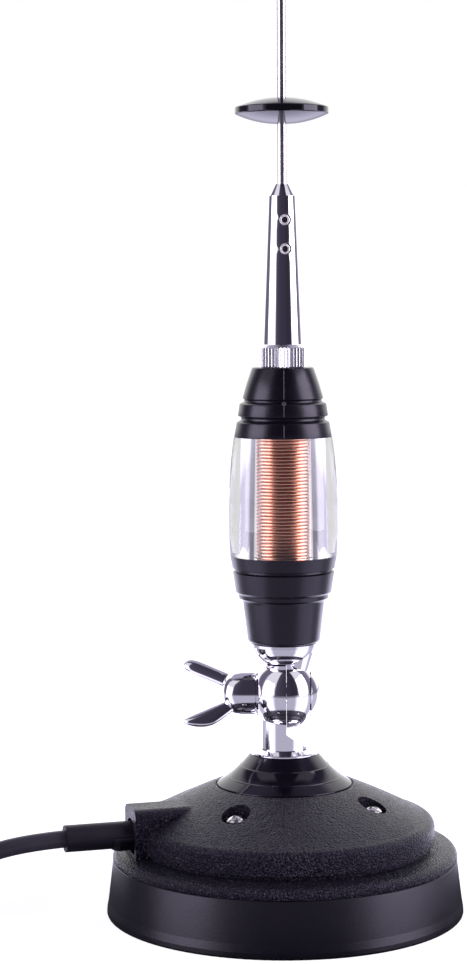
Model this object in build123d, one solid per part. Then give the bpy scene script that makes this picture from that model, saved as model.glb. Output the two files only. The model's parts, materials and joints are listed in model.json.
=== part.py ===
from build123d import *
import math
import os

os.makedirs("parts", exist_ok=True)

# Magnet-mount antenna with a centre loading coil. Millimetres, +Z up, origin on the floor under the whip.
# The wing nut points to -X, and the front of the antenna faces -Y.

# Clearances
shaft_gap = 0.05
turn_gap = 0.08
face_gap = 0.12
sweep_gap = 0.35
seat_gap = 0.03

# Rubber boot and magnet
boot_top_r = 60.2
boot_flare = 1.7
boot_lip = 0.6
boot_height = 19.3
boot_flare_height = 5.0
boot_wall = 3.0
boot_floor = 1.4
cup_thickness = 2.0
cup_sink = 1.6
magnet_wall_gap = 1.5
magnet_bore_r = 23.0
pole_gap = 2.0

# Moulded cover
ledge_bead_r = 1.7
ledge_rise = 3.4
cover_groove_width = 1.1
cover_groove_depth = 1.2
cover_ledge = 7.8
cover_wall_rise = 11.2
cover_shoulder = 3.0
cover_rise = 25.8
cover_rim = 0.7
cover_thickness = 2.6
cover_spigot_gap = 0.3

# Cover screws
screw_count = 4
screw_offset = 9.6
screw_first_angle = -118.7
screw_head_r = 3.4
screw_head_height = 3.1
screw_head_dome = 1.7
screw_shank_r = 1.95
screw_recess_r = 4.9
screw_seat_rise = 18.0
screw_post_r = 5.0
screw_hole_gap = 0.3
pocket_wall_width = 1.6
pocket_wall_drop = 1.2
cross_width = 0.9
cross_length = 4.2
cross_depth = 1.3

# Cable hump
hump_angle = 197.4
hump_width = 15.5
hump_cover = 9.5
hump_overhang = 3.2
hump_buried = 25.6
hump_round = 3.0
hump_thickness = 2.0
cable_rise = 11.6
channel_floor_gap = 0.5
cable_r = 3.05

# Grommet and shrink sleeve
grommet_wall = 1.0
grommet_length = 9.0
grommet_inset = 1.6
trough_length = 6.8
trough_slant = 2.0
trough_edge = 0.2
sleeve_wall = 1.45
sleeve_bore_gap = 0.1
sleeve_reach = 78.6

# Glossy cone
cone_slope_1 = 4.1
cone_slope_2 = 4.05
cone_slope_3 = 3.65
cone_rim = 0.2
cone_tier_1 = 2.8
cone_tier_2 = 3.8
cone_tier_3 = 4.3
cone_groove = 0.5
cone_sink = 0.4

# Knuckle
flange_rim = 3.43
flange_height = 1.7
pillar_r = 8.47
shank_r = 4.95
shank_out = 1.98
pivot_rise = 21.0
ball_r = 13.0
split_x = 0.8
ball_left_x = -8.7
ball_left_rim = 0.3
ball_left_bulge = 1.25
ball_right_x = 8.9
ball_right_rim = 0.3
ball_right_bulge = 1.0
slant_angle = 37.0
bowl_r = 11.6
bowl_rise = 18.0
bowl_bottom_rise = 10.6
bowl_bottom_r = 6.4
bowl_round = 1.0
bowl_lip = 1.3
neck_foot_rise = 5.5
neck_sink = 4.2
neck_foot_width = 13.0
neck_top_width = 16.5
neck_foot_reach = 8.2
neck_top_reach = 11.3

# Pivot bolt, washer and wing nut
bolt_r = 3.95
bolt_head_height = 3.85
bolt_head_edge = 0.5
bolt_head_r = 8.3
bolt_end_gap = 0.6
washer_r = 7.9
washer_thickness = 0.8
nut_length = 12.0
nut_r = 7.62
nut_straight = 5.2
nut_nose_r = 3.9
nut_nose_dome = 0.5
nut_bore_depth = 8.6
wing_angle = 40.0
wing_thickness = 3.2
wing_round = 1.1
upper_wing_tip_r = 1.2
lower_wing_tip_r = 1.6
upper_wing = [(5.4, 4.2), (7.4, 2.1), (25.8, 10.2), (23.6, 12.3)]
lower_wing = [(2.4, 5.5), (7.4, 1.0), (24.3, 10.0), (16.8, 12.9)]

# Coil housing
lower_mouth_r = 18.5
lower_mouth_height = 4.3
lower_mouth_draw = 0.9
lower_groove_height = 1.5
lower_groove_depth = 0.75
lower_band_height = 7.7
lower_band_draw = 1.0
lower_step_height = 2.7
lower_step_draw = 1.1
lower_taper_height = 14.2
lower_taper_draw = 1.4
lower_neck_draw = 1.5
lower_foot_draw = 1.3
lower_foot_round = 1.3
shell_height = 41.2
shell_belly = 0.45
shell_belly_rise = 13.8
shell_foot_wall = 2.5
shell_belly_wall = 2.75
shell_top_wall = 3.15
shell_top_lip = 0.15
shell_spigot = 3.0
shell_spigot_step = 1.3
upper_mouth_r = 16.9
upper_band_1_draw = 0.7
upper_band_1_height = 4.6
upper_band_2_step = 0.5
upper_band_2_draw = 1.0
upper_band_2_height = 3.9
upper_cone_step = 0.7
upper_cone_draw = 3.2
upper_cone_height = 10.6
upper_cone_bulge = 0.5
upper_edge = 0.5
upper_groove_height = 2.4
upper_groove_depth = 1.4
coil_former_r = 8.25
coil_former_wall = 2.2
wire_d = 1.1
coil_pitch = 1.15
coil_turns = 40
winding_valley = 0.55
former_seat = 9.0
insert_wall = 1.45
lower_insert_floor = 4.4
upper_insert_floor = 0.9
winding_side_gap = 0.35
stud_r = 3.95
stud_grip = 9.0

# Whip holder
knurl_out = 1.45
knurl_height = 7.9
knurl_bevel = 1.3
knurl_ridges = 42
knurl_depth = 0.42
knurl_flat = 0.12
knurl_bite = 0.3
holder_foot_r = 7.1
holder_shoulder_r = 4.83
holder_tip_wall = 0.94
holder_length = 62.6
holder_cone = 4.0
holder_stud_depth = 10.0
holder_floor = 2.5
set_screw_r = 2.0
set_screw_mouth_r = 2.25
set_screw_mouth = 0.6
set_screw_angle = -79.0
set_screw_top_drop = 12.2
set_screw_spacing = 9.9
set_screw_sink = 0.7
hex_socket_flats = 2.0
hex_socket_depth = 1.6

# Whip and disc
whip_r = 1.6
whip_grip = 31.0
overall_height = 650.0
disc_r = 16.1
disc_edge = 2.5
disc_dome = 3.3
disc_rise = 25.0
disc_bevel = 0.3
disc_bulge = 0.75

# Free cable: route to the coil on the floor, and the coil of the length that is put away
coil_centre = (-163.0, -8.0)
coil_inner_r = 19.0
coil_outer_r = 50.0
coil_thickness = 24.4
coil_lift = 0.9
tie_width = 8.0
tie_thickness = 0.7
tie_angles = (20.0, 215.0)
cable_route = [
    (-86.0, -26.95, 30.5),
    (-100.0, -31.6, 28.2),
    (-112.5, -36.3, 22.6),
    (-124.0, -41.2, 14.9),
    (-135.5, -46.3, 8.6),
    (-148.0, -50.9, 4.6),
]
tail_route = [
    (-209.7, -6.0, 22.0),
    (-210.2, 9.0, 21.4),
    (-210.6, 23.0, 18.0),
    (-210.4, 37.0, 12.8),
    (-210.0, 50.0, 9.6),
    (-210.0, 62.0, 9.2),
    (-210.0, 73.0, 9.18),
]

# Screw-ring plug
plug_mouth = (-210.0, 62.0, 9.2)
plug_ring_bore_r = 7.95
plug_ring_wall = 1.25
plug_ring_length = 19.0
plug_ring_back = 3.0
plug_ring_offset = 14.0
plug_ring_play = 0.3
plug_flange_gap = 0.45
plug_flange = 2.0
plug_body_wall = 1.1
plug_nose_step = 0.7
plug_nose = 5.0
plug_nose_wall = 1.0
plug_reducer_wall = 2.15
plug_reducer_step = 1.0
plug_reducer_out = 6.0
plug_reducer_in = 6.0
plug_pin_r = 1.98
plug_pin_tail_r = 1.6
plug_core_gap = 1.2
plug_pin_length = 14.0
plug_pin_nose = 1.4

# Feed end of the cable inside the base
nut_flats = 17.0
clamp_nut_height = 7.0
lock_washer_thickness = 1.2
solder_tag_thickness = 0.8
solder_tag_r = 8.5
lead_r = 0.9
clip_margin = 2.8
clip_thickness = 1.0
clip_width = 8.0
ground_tag_angle = 174.0
ground_tag_inset = 14.4
ground_tag_r = 4.0
ground_screw_r = 1.45
ground_head_r = 3.0
ground_head_height = 2.0

# Radii that follow from each other, from the whip's axis outwards
flange_r = pillar_r + flange_rim
cone_top_r = flange_r + cone_rim
cone_step_2_r = cone_top_r + cone_slope_3
cone_step_1_r = cone_step_2_r + cone_slope_2
cone_foot_r = cone_step_1_r + cone_slope_1
cover_top_r = cone_foot_r + cover_rim
screw_circle_r = cover_top_r + screw_offset
cover_wall_r = boot_top_r - cover_ledge
cover_inner_r = cover_wall_r - cover_groove_depth - cover_thickness
hump_reach = cover_wall_r + hump_overhang
hump_back = hump_reach - hump_buried
ground_tag_circle_r = cover_wall_r - ground_tag_inset
cable_end_r = hump_reach - grommet_length - clip_width - 2 * clip_margin
sleeve_r = cable_r + sleeve_bore_gap + sleeve_wall
grommet_r = sleeve_r + grommet_wall
ball_left_r = washer_r + ball_left_rim
ball_right_r = bolt_head_r + ball_right_rim
slant_drop = ball_r + sweep_gap
lower_band_r = lower_mouth_r - lower_mouth_draw
lower_band_foot_r = lower_band_r - lower_band_draw
lower_step_r = lower_band_foot_r - lower_step_draw
lower_taper_r = lower_step_r - lower_taper_draw
lower_neck_r = lower_taper_r - lower_neck_draw
lower_foot_r = lower_neck_r - lower_foot_draw
shell_belly_r = lower_mouth_r + shell_belly
shell_foot_bore_r = lower_mouth_r - shell_foot_wall
shell_belly_bore_r = shell_belly_r - shell_belly_wall
shell_top_r = upper_mouth_r + shell_top_lip
shell_top_bore_r = shell_top_r - shell_top_wall
upper_band_1_r = upper_mouth_r - upper_band_1_draw
upper_band_2_foot_r = upper_band_1_r - upper_band_2_step
upper_band_2_r = upper_band_2_foot_r - upper_band_2_draw
upper_cone_foot_r = upper_band_2_r - upper_cone_step
upper_top_r = upper_cone_foot_r - upper_cone_draw
insert_r = stud_r + insert_wall
winding_well_r = coil_former_r + wire_d + winding_side_gap
knurl_r = holder_foot_r + knurl_out
holder_tip_r = whip_r + holder_tip_wall
plug_ring_r = plug_ring_bore_r + plug_ring_wall
plug_flange_r = plug_ring_bore_r - plug_flange_gap
plug_reducer_r = cable_r + plug_reducer_wall
plug_body_r = plug_reducer_r + plug_body_wall
plug_nose_r = plug_body_r - plug_nose_step
plug_nose_bore_r = plug_nose_r - plug_nose_wall

# Heights that stack up from the floor
hump_height = cable_rise + hump_cover
lower_bands_height = lower_band_height + lower_groove_height + lower_mouth_height
lower_height = lower_taper_height + lower_step_height + lower_bands_height
upper_bands_height = upper_band_1_height + upper_band_2_height
upper_height = upper_bands_height + 2 * upper_groove_height + upper_cone_height
boot_top = boot_height
cup_top = boot_top - cup_sink
cup_r = boot_top_r - boot_wall - seat_gap
cover_top = boot_top + cover_rise
cone_foot = cover_top - cone_sink
cone_top = cone_foot + cone_sink + cone_tier_1 + cone_tier_2 + cone_tier_3
pivot_z = cone_top + pivot_rise
roof_z = cone_foot - cover_thickness
bowl_top = pivot_z + bowl_rise
lower_bottom = bowl_top + seat_gap
shell_bottom = lower_bottom + lower_height
shell_top = shell_bottom + shell_height
upper_top = shell_top + upper_height
holder_bottom = upper_top + seat_gap
holder_top = holder_bottom + holder_length
whip_bottom = holder_top - whip_grip
disc_middle = holder_top + disc_rise
winding_length = coil_turns * coil_pitch
winding_bottom = (shell_bottom + shell_top - winding_length) / 2
winding_well = shell_bottom - winding_bottom + seat_gap
cable_z = boot_top + cable_rise
screw_seat = boot_top + screw_seat_rise


def bulge(height, end):
    """A profile step that reaches its end on an arc, swollen outwards by the height."""
    return {"height": height, "end": end}


def outline(start, *ends):
    """A closed profile drawn anticlockwise through plain points and bulged steps."""
    edges = []
    here = start
    for end in ends:
        if isinstance(end, dict):
            edges.append(SagittaArc(here, end["end"], -end["height"]))
            here = end["end"]
        else:
            edges.append(Line(here, end))
            here = end
    edges.append(Line(here, start))
    return make_face(edges)


def crown(radius, rise):
    """Height of the bulge that brings a dome of this radius and rise square to its axis."""
    sphere_r = (radius**2 + rise**2) / (2 * rise)
    return sphere_r - math.sqrt(sphere_r**2 - (radius**2 + rise**2) / 4)


def quarter_round(radius):
    """Height of the bulge that rounds a square corner with this radius."""
    return radius * (1 - math.cos(math.radians(45)))


def turned(*steps):
    """A body turned about the whip's axis from a profile of radius and height."""
    return revolve(Plane.XZ * outline(*steps), Axis.Z)


def turned_on_pivot(*steps):
    """A body turned about the pivot from a profile of X and radius."""
    profile = Pos(0, 0, pivot_z) * (Plane.XZ * outline(*steps))
    return revolve(profile, Axis((0, 0, pivot_z), (1, 0, 0)))


def upright(radius, bottom, top):
    """A cylinder on the whip's axis."""
    return Pos(0, 0, (bottom + top) / 2) * Cylinder(radius, top - bottom)


def along_x(radius, left, right):
    """A cylinder on the pivot axis."""
    return Pos((left + right) / 2, 0, pivot_z) * Rot(0, 90, 0) * Cylinder(radius, right - left)


def block(x_range, y_range, z_range):
    """A box between three pairs of limits."""
    size = [high - low for low, high in (x_range, y_range, z_range)]
    middle = [(high + low) / 2 for low, high in (x_range, y_range, z_range)]
    return Pos(*middle) * Box(*size)


def in_screw_places(piece):
    """Copies of a piece, one at each cover screw."""
    places = []
    for index in range(screw_count):
        angle = screw_first_angle + index * 360 / screw_count
        places.append(Rot(0, 0, angle) * Pos(screw_circle_r, 0, 0) * piece)
    return places


def along_hump(piece):
    """Turn a piece that points to +X so that it points out of the cable hump."""
    return Rot(0, 0, hump_angle) * piece


def hump_rod(radius, start, end):
    """A cylinder on the cable's axis between two distances from the whip's axis."""
    rod = Pos((start + end) / 2, 0, cable_z) * Rot(0, 90, 0) * Cylinder(radius, end - start)
    return along_hump(rod)


def make_rubber_boot():
    """Rubber ring with a flared lip and a thin floor under the magnet."""
    inner_r = boot_top_r - boot_wall
    flare_r = boot_top_r + boot_flare
    foot_r = flare_r + boot_lip
    return turned(
        (0, 0),
        (foot_r - 0.8, 0),
        bulge(0.25, (foot_r, 0.8)),
        (foot_r - 0.1, boot_flare_height * 0.45),
        (flare_r, boot_flare_height),
        (boot_top_r, boot_top - 0.4),
        (boot_top_r - 0.4, boot_top),
        (inner_r, boot_top),
        (inner_r, boot_floor),
        (0, boot_floor),
    )


def make_steel_cup():
    """Pressed cup, open downwards, with threaded holes for the cover screws."""
    bottom = boot_floor + seat_gap
    cup = turned(
        (cup_r - cup_thickness, bottom),
        (cup_r, bottom),
        (cup_r, cup_top - cup_thickness),
        bulge(quarter_round(cup_thickness), (cup_r - cup_thickness, cup_top)),
        (0, cup_top),
        (0, cup_top - cup_thickness),
        (cup_r - cup_thickness, cup_top - cup_thickness),
    )
    hole = Pos(0, 0, cup_top) * Cylinder(screw_shank_r + shaft_gap, 3 * cup_thickness)
    for drilled in in_screw_places(hole):
        cup -= drilled
    ground_hole = Pos(ground_tag_circle_r, 0, cup_top) * Cylinder(ground_screw_r + shaft_gap, 3 * cup_thickness)
    return cup - Rot(0, 0, ground_tag_angle) * ground_hole


def make_ring_magnet():
    """Ferrite ring under the cup's top plate."""
    outer_r = cup_r - cup_thickness - magnet_wall_gap
    bottom = boot_floor + seat_gap
    top = cup_top - cup_thickness - seat_gap
    return upright(outer_r, bottom, top) - upright(magnet_bore_r, bottom, top)


def make_centre_pole():
    """Steel disc in the magnet's bore."""
    return upright(
        magnet_bore_r - pole_gap,
        boot_floor + seat_gap,
        cup_top - cup_thickness - seat_gap,
    )


def cover_outside():
    """Outer form of the cover without its hump: ledge, groove, wall, shoulder and cone."""
    ledge_top = boot_top + ledge_rise
    wall_top = boot_top + cover_wall_rise
    shoulder_r = cover_wall_r - cover_shoulder
    shoulder_top = wall_top + cover_shoulder
    groove_r = cover_wall_r - cover_groove_depth
    return turned(
        (0, boot_top),
        (boot_top_r, boot_top),
        (boot_top_r + 0.1, boot_top + 0.5),
        bulge(0.55, (boot_top_r - ledge_bead_r, ledge_top)),
        (cover_wall_r + 1.4, ledge_top + 0.9),
        (cover_wall_r + 0.9, ledge_top + 0.7),
        (groove_r, ledge_top + 0.9),
        (groove_r, ledge_top + 0.9 + cover_groove_width),
        (cover_wall_r, ledge_top + 1.3 + cover_groove_width),
        (cover_wall_r, wall_top),
        bulge(0.28 * cover_shoulder, (shoulder_r, shoulder_top)),
        bulge(0.35, (cover_top_r, cover_top)),
        (cone_foot_r + 0.2, cover_top),
        (cone_foot_r + 0.2, cone_foot),
        (0, cone_foot),
    )


def cover_inside():
    """The hollow of the cover."""
    below = cup_top - cup_thickness
    wall_top = boot_top + cover_wall_rise - 0.5 * cover_thickness
    return turned(
        (0, below),
        (cover_inner_r, below),
        (cover_inner_r, wall_top),
        bulge(0.2 * cover_shoulder, (cover_inner_r - cover_shoulder, wall_top + 0.8 * cover_shoulder)),
        (cover_top_r - 1.0, roof_z),
        (0, roof_z),
    )


def hump_body(width, height, reach, round_r):
    """The straight-topped hump that carries the cable out, as a bar towards +X."""
    bottom = boot_top + 0.5
    bar = block((hump_back, reach), (-width / 2, width / 2), (bottom, boot_top + height))
    top_edges = bar.edges().filter_by(Axis.X).group_by(Axis.Z)[-1]
    return fillet(top_edges, round_r)


def make_base_cover():
    """Grained dome with the cable hump, screw pockets with posts and a centre hole."""
    outside = cover_outside() + along_hump(hump_body(hump_width, hump_height, hump_reach, hump_round))
    channel_width = hump_width - 2 * hump_thickness
    channel_height = hump_height - hump_thickness
    channel = hump_body(channel_width, channel_height, hump_reach - hump_thickness, hump_round)
    channel_bottom = cable_z - grommet_r - channel_floor_gap
    mouth_bottom = block((0, 2 * hump_reach), (-grommet_r, grommet_r), (channel_bottom, cable_z))
    channel_floor = block((0, 2 * hump_reach), (-hump_width, hump_width), (0, channel_bottom))
    cover = outside - cover_inside() - along_hump(channel - channel_floor)
    spigot_r = boot_top_r - boot_wall - cover_spigot_gap
    spigot = upright(spigot_r, cup_top + seat_gap, boot_top + 0.5)
    spigot -= upright(cover_inner_r, cup_top - 1, boot_top + 1)
    cover += spigot
    post = upright(screw_post_r, cup_top + seat_gap, screw_seat)
    pocket_wall = upright(screw_recess_r + pocket_wall_width, screw_seat - pocket_wall_drop, cover_top)
    for placed_post, placed_wall in zip(in_screw_places(post), in_screw_places(pocket_wall)):
        cover += placed_post + (placed_wall & outside)
    pocket = Pos(0, 0, screw_seat + cover_rise) * Cylinder(screw_recess_r, 2 * cover_rise)
    hole = Pos(0, 0, cup_top) * Cylinder(screw_shank_r + screw_hole_gap, 4 * cover_rise)
    for cut in in_screw_places(pocket + hole):
        cover -= cut
    cover -= hump_rod(grommet_r + seat_gap, cable_end_r + 4, 2 * hump_reach)
    cover -= along_hump(mouth_bottom - upright(hump_back + 8, 0, 2 * cable_z))
    return cover - upright(shank_r + shaft_gap, roof_z - 1, cone_top)


def cross_cutter(top):
    """The cross recess of a screw head."""
    depth_middle = top - cross_depth / 2
    arm = Pos(0, 0, depth_middle) * Box(cross_length, cross_width, cross_depth)
    return arm + Rot(0, 0, 90) * arm


def make_cover_screws():
    """Pan-head screws from the pockets into the cup's top plate."""
    head_top = screw_seat + seat_gap + screw_head_height
    shank_end = cup_top - cup_thickness + seat_gap
    screw = turned(
        (0, shank_end),
        (screw_shank_r - 0.4, shank_end),
        (screw_shank_r, shank_end + 0.5),
        (screw_shank_r, screw_seat + seat_gap),
        (screw_head_r, screw_seat + seat_gap),
        (screw_head_r, head_top - screw_head_dome),
        bulge(crown(screw_head_r, screw_head_dome), (0, head_top)),
    )
    screw -= cross_cutter(head_top)
    return Compound(children=[Part(placed.wrapped) for placed in in_screw_places(screw)])


def make_cone_collar():
    """Glossy three-tier cone that insulates the pillar from the cover."""
    foot = cone_foot + seat_gap
    z1 = cover_top + cone_tier_1
    z2 = z1 + cone_tier_2
    cone = turned(
        (0, foot),
        (cone_foot_r, foot),
        (cone_foot_r, cover_top + 0.3),
        bulge(0.25, (cone_step_1_r + cone_groove, z1)),
        (cone_step_1_r - cone_groove, z1),
        bulge(0.25, (cone_step_2_r + cone_groove, z2)),
        (cone_step_2_r - cone_groove, z2),
        bulge(0.2, (cone_top_r, cone_top)),
        (0, cone_top),
    )
    return cone - upright(shank_r + shaft_gap, foot - 1, cone_top + 1)


def half_ball_left(extra):
    """The fixed half of the ball, grown all round by the extra."""
    return turned_on_pivot(
        (split_x - face_gap / 2, 0),
        (split_x - face_gap / 2, ball_r + extra),
        bulge(ball_left_bulge, (ball_left_x - extra, ball_left_r + extra)),
        (ball_left_x - extra, 0),
    )


def half_ball_right():
    """The moving half of the ball."""
    return turned_on_pivot(
        (ball_right_x, 0),
        (ball_right_x, ball_right_r),
        bulge(ball_right_bulge, (split_x + face_gap / 2, ball_r)),
        (split_x + face_gap / 2, 0),
    )


def make_lower_knuckle():
    """Pillar with flange, shank and the fixed half ball, cut away under the moving half."""
    flange_foot = cone_top + seat_gap
    shank_end = nut_heights()[2] - clamp_nut_height - shank_out
    body = turned(
        (0, shank_end),
        (shank_r - 0.8, shank_end),
        (shank_r, shank_end + 0.8),
        (shank_r, flange_foot),
        (flange_r, flange_foot),
        (flange_r, flange_foot + 0.4),
        (flange_r - 0.3, flange_foot + 0.7),
        (pillar_r + 0.9, flange_foot + flange_height),
        (pillar_r, flange_foot + flange_height),
        (pillar_r, pivot_z),
        (0, pivot_z),
    )
    face_x = split_x - face_gap / 2
    slant_top = pivot_z - slant_drop
    far_x = 3 * ball_r
    far_z = slant_top - (far_x - face_x) * math.tan(math.radians(slant_angle))
    top = pivot_z + 2 * ball_r
    cutter_face = outline((face_x, slant_top), (far_x, far_z), (far_x, top), (face_x, top))
    cutter = extrude(Plane.XZ * cutter_face, amount=2 * ball_r, both=True)
    cutter -= upright(2 * flange_r, shank_end, flange_foot + flange_height)
    body = body - cutter + half_ball_left(0)
    return body - along_x(bolt_r + turn_gap, ball_left_x - ball_r, split_x + ball_r)


def make_neck():
    """The web that joins the moving half ball to the bowl."""
    foot_z = pivot_z + neck_foot_rise
    top_z = pivot_z + bowl_bottom_rise + neck_sink
    left = split_x - 1
    foot = Ellipse((neck_foot_reach - left) / 2, neck_foot_width / 2)
    foot = Pos((left + neck_foot_reach) / 2, 0, foot_z) * foot
    top = Ellipse((neck_top_reach - left) / 2, neck_top_width / 2)
    top = Pos((left + neck_top_reach) / 2, 0, top_z) * top
    neck = loft([foot, top])
    keep = block((split_x + face_gap / 2, 2 * ball_r), (-2 * ball_r, 2 * ball_r), (pivot_z, top_z))
    return neck & keep


def make_upper_knuckle():
    """Bowl with its threaded stud, neck and moving half ball in one casting."""
    bottom = pivot_z + bowl_bottom_rise
    rim = bowl_top - bowl_lip
    bowl = turned(
        (0, bottom),
        (bowl_bottom_r, bottom),
        bulge(bowl_round, (bowl_r - 0.2, rim - 0.9)),
        (bowl_r, rim),
        (bowl_r, bowl_top - 0.3),
        (bowl_r - 0.3, bowl_top),
        (stud_r, bowl_top),
        (stud_r, lower_bottom + stud_grip - 0.6),
        (stud_r - 0.6, lower_bottom + stud_grip),
        (0, lower_bottom + stud_grip),
    )
    bowl -= half_ball_left(sweep_gap)
    reach = 2 * bowl_r
    bowl -= block((-reach, split_x + face_gap / 2), (-reach, reach), (pivot_z - reach, bottom))
    body = bowl + half_ball_right() + make_neck()
    body -= along_x(bolt_r + shaft_gap, split_x - ball_r, ball_right_x + ball_r)
    return body - along_x(bolt_head_r + seat_gap, ball_right_x, ball_right_x + 2 * bolt_head_height)


def make_pivot_bolt():
    """Domed bolt through both halves of the ball into the wing nut."""
    seat = ball_right_x + seat_gap
    nut_face = ball_left_x - face_gap - washer_thickness - seat_gap
    bolt_end = nut_face - nut_bore_depth + bolt_end_gap
    return turned_on_pivot(
        (seat + bolt_head_height, 0),
        bulge(crown(bolt_head_r, bolt_head_height - bolt_head_edge), (seat + bolt_head_edge, bolt_head_r)),
        (seat, bolt_head_r),
        (seat, bolt_r),
        (bolt_end + 0.6, bolt_r),
        (bolt_end, bolt_r - 0.6),
        (bolt_end, 0),
    )


def make_clamp_washer():
    """Plain washer between the fixed half ball and the wing nut."""
    right = ball_left_x - face_gap
    left = right - washer_thickness
    return along_x(washer_r, left, right) - along_x(bolt_r + shaft_gap, left - 1, right + 1)


def make_wing(face_x, corners, tip_r):
    """One wing, swept outwards, from its corners' distances from the nut's face and the axis."""
    rim = make_face(Polyline([(face_x - along, out) for along, out in corners], close=True))
    tips = rim.vertices().sort_by(Axis.X)[:2]
    rim = fillet(tips, tip_r)
    wing = Pos(0, 0, pivot_z) * extrude(Plane.XZ * rim, amount=wing_thickness / 2, both=True)
    flat_edges = wing.edges().filter_by(lambda edge: abs(abs(edge.center().Y) - wing_thickness / 2) < 0.01)
    return fillet(flat_edges, wing_round)


def make_wing_nut():
    """Capped wing nut with a barrel-shaped hub, a slender upper wing and a broader lower one."""
    face_x = ball_left_x - face_gap - washer_thickness - seat_gap
    nose_x = face_x - nut_length
    hub = turned_on_pivot(
        (face_x, 0),
        (face_x, nut_r - 0.5),
        (face_x - 0.5, nut_r),
        (face_x - nut_straight, nut_r),
        bulge(0.9, (nose_x + nut_nose_dome, nut_nose_r)),
        bulge(crown(nut_nose_r, nut_nose_dome), (nose_x, 0)),
    )
    pivot = Axis((0, 0, pivot_z), (1, 0, 0))
    hub += make_wing(face_x, upper_wing, upper_wing_tip_r).rotate(pivot, -wing_angle)
    hub += make_wing(face_x, lower_wing, lower_wing_tip_r).rotate(pivot, 180 - wing_angle)
    return hub - along_x(bolt_r + turn_gap, face_x - nut_bore_depth, face_x + 1)


def make_lower_cap():
    """Lower moulding of the coil housing: tapered foot, step, two bands and a groove."""
    step = lower_bottom + lower_taper_height + lower_step_height
    band_top = step + lower_band_height
    groove_r = lower_band_r - lower_groove_depth
    groove_top = band_top + lower_groove_height
    cap = turned(
        (0, lower_bottom),
        (lower_foot_r, lower_bottom),
        bulge(0.35, (lower_neck_r, lower_bottom + lower_foot_round)),
        (lower_taper_r, lower_bottom + lower_taper_height),
        bulge(-0.35, (lower_step_r, step - 1.3)),
        (lower_step_r + 0.1, step),
        (lower_band_foot_r, step + 0.9),
        (lower_band_r, band_top),
        (groove_r, band_top + 0.5),
        (groove_r, groove_top - 0.3),
        (lower_band_r + 0.15, groove_top),
        (lower_mouth_r, shell_bottom),
        (0, shell_bottom),
    )
    cap -= upright(winding_well_r, shell_bottom - winding_well, shell_bottom + 1)
    cap -= upright(coil_former_r + seat_gap, shell_bottom - former_seat, shell_bottom + 1)
    spigot_r = lower_mouth_r - shell_spigot_step
    recess = upright(spigot_r + shaft_gap, shell_bottom - shell_spigot - seat_gap, shell_bottom + 1)
    recess -= upright(shell_foot_bore_r - shaft_gap, shell_bottom - shell_spigot - 1, shell_bottom + 2)
    insert_top = shell_bottom - former_seat - lower_insert_floor
    return cap - recess - upright(insert_r + seat_gap, lower_bottom - 1, insert_top)


def make_lower_insert():
    """Brass bush moulded into the lower cap, threaded for the stud."""
    top = shell_bottom - former_seat - lower_insert_floor - seat_gap
    insert = upright(insert_r, lower_bottom + seat_gap, top)
    return insert - upright(stud_r + shaft_gap, lower_bottom - 1, lower_bottom + stud_grip + 0.3)


def make_coil_former():
    """Insulating tube that carries the winding, seated in both caps."""
    bottom = shell_bottom - former_seat + seat_gap
    top = shell_top + former_seat - seat_gap
    return upright(coil_former_r, bottom, top) - upright(coil_former_r - coil_former_wall, bottom - 1, top + 1)


def make_coil_winding():
    """Close-wound bare wire, one ridge for each turn, with its ends in the caps."""
    inner_r = coil_former_r + seat_gap
    valley_r = inner_r + winding_valley * wire_d
    crown_r = inner_r + wire_d
    steps = [(inner_r, winding_bottom)]
    for turn in range(coil_turns):
        foot = winding_bottom + turn * coil_pitch
        steps.append((valley_r, foot))
        steps.append((crown_r, foot + coil_pitch / 2))
    steps.append((valley_r, winding_bottom + winding_length))
    steps.append((inner_r, winding_bottom + winding_length))
    return turned(*steps)


def make_clear_shell():
    """Thick clear barrel with a spigot at each end."""
    belly_z = shell_bottom + shell_belly_rise
    outer = ThreePointArc((lower_mouth_r, shell_bottom), (shell_belly_r, belly_z), (shell_top_r, shell_top))
    inner = ThreePointArc(
        (shell_foot_bore_r, shell_bottom),
        (shell_belly_bore_r, belly_z),
        (shell_top_bore_r, shell_top),
    )
    face = make_face(
        [
            outer,
            inner,
            Line((shell_foot_bore_r, shell_bottom), (lower_mouth_r, shell_bottom)),
            Line((shell_top_bore_r, shell_top), (shell_top_r, shell_top)),
        ]
    )
    barrel = revolve(Plane.XZ * face, Axis.Z)
    foot_r = lower_mouth_r - shell_spigot_step
    foot = upright(foot_r, shell_bottom - shell_spigot, shell_bottom)
    foot -= upright(shell_foot_bore_r, shell_bottom - shell_spigot, shell_bottom)
    head_r = upper_mouth_r - shell_spigot_step
    head = upright(head_r, shell_top, shell_top + shell_spigot)
    head -= upright(shell_top_bore_r, shell_top, shell_top + shell_spigot)
    return barrel + foot + head


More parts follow.
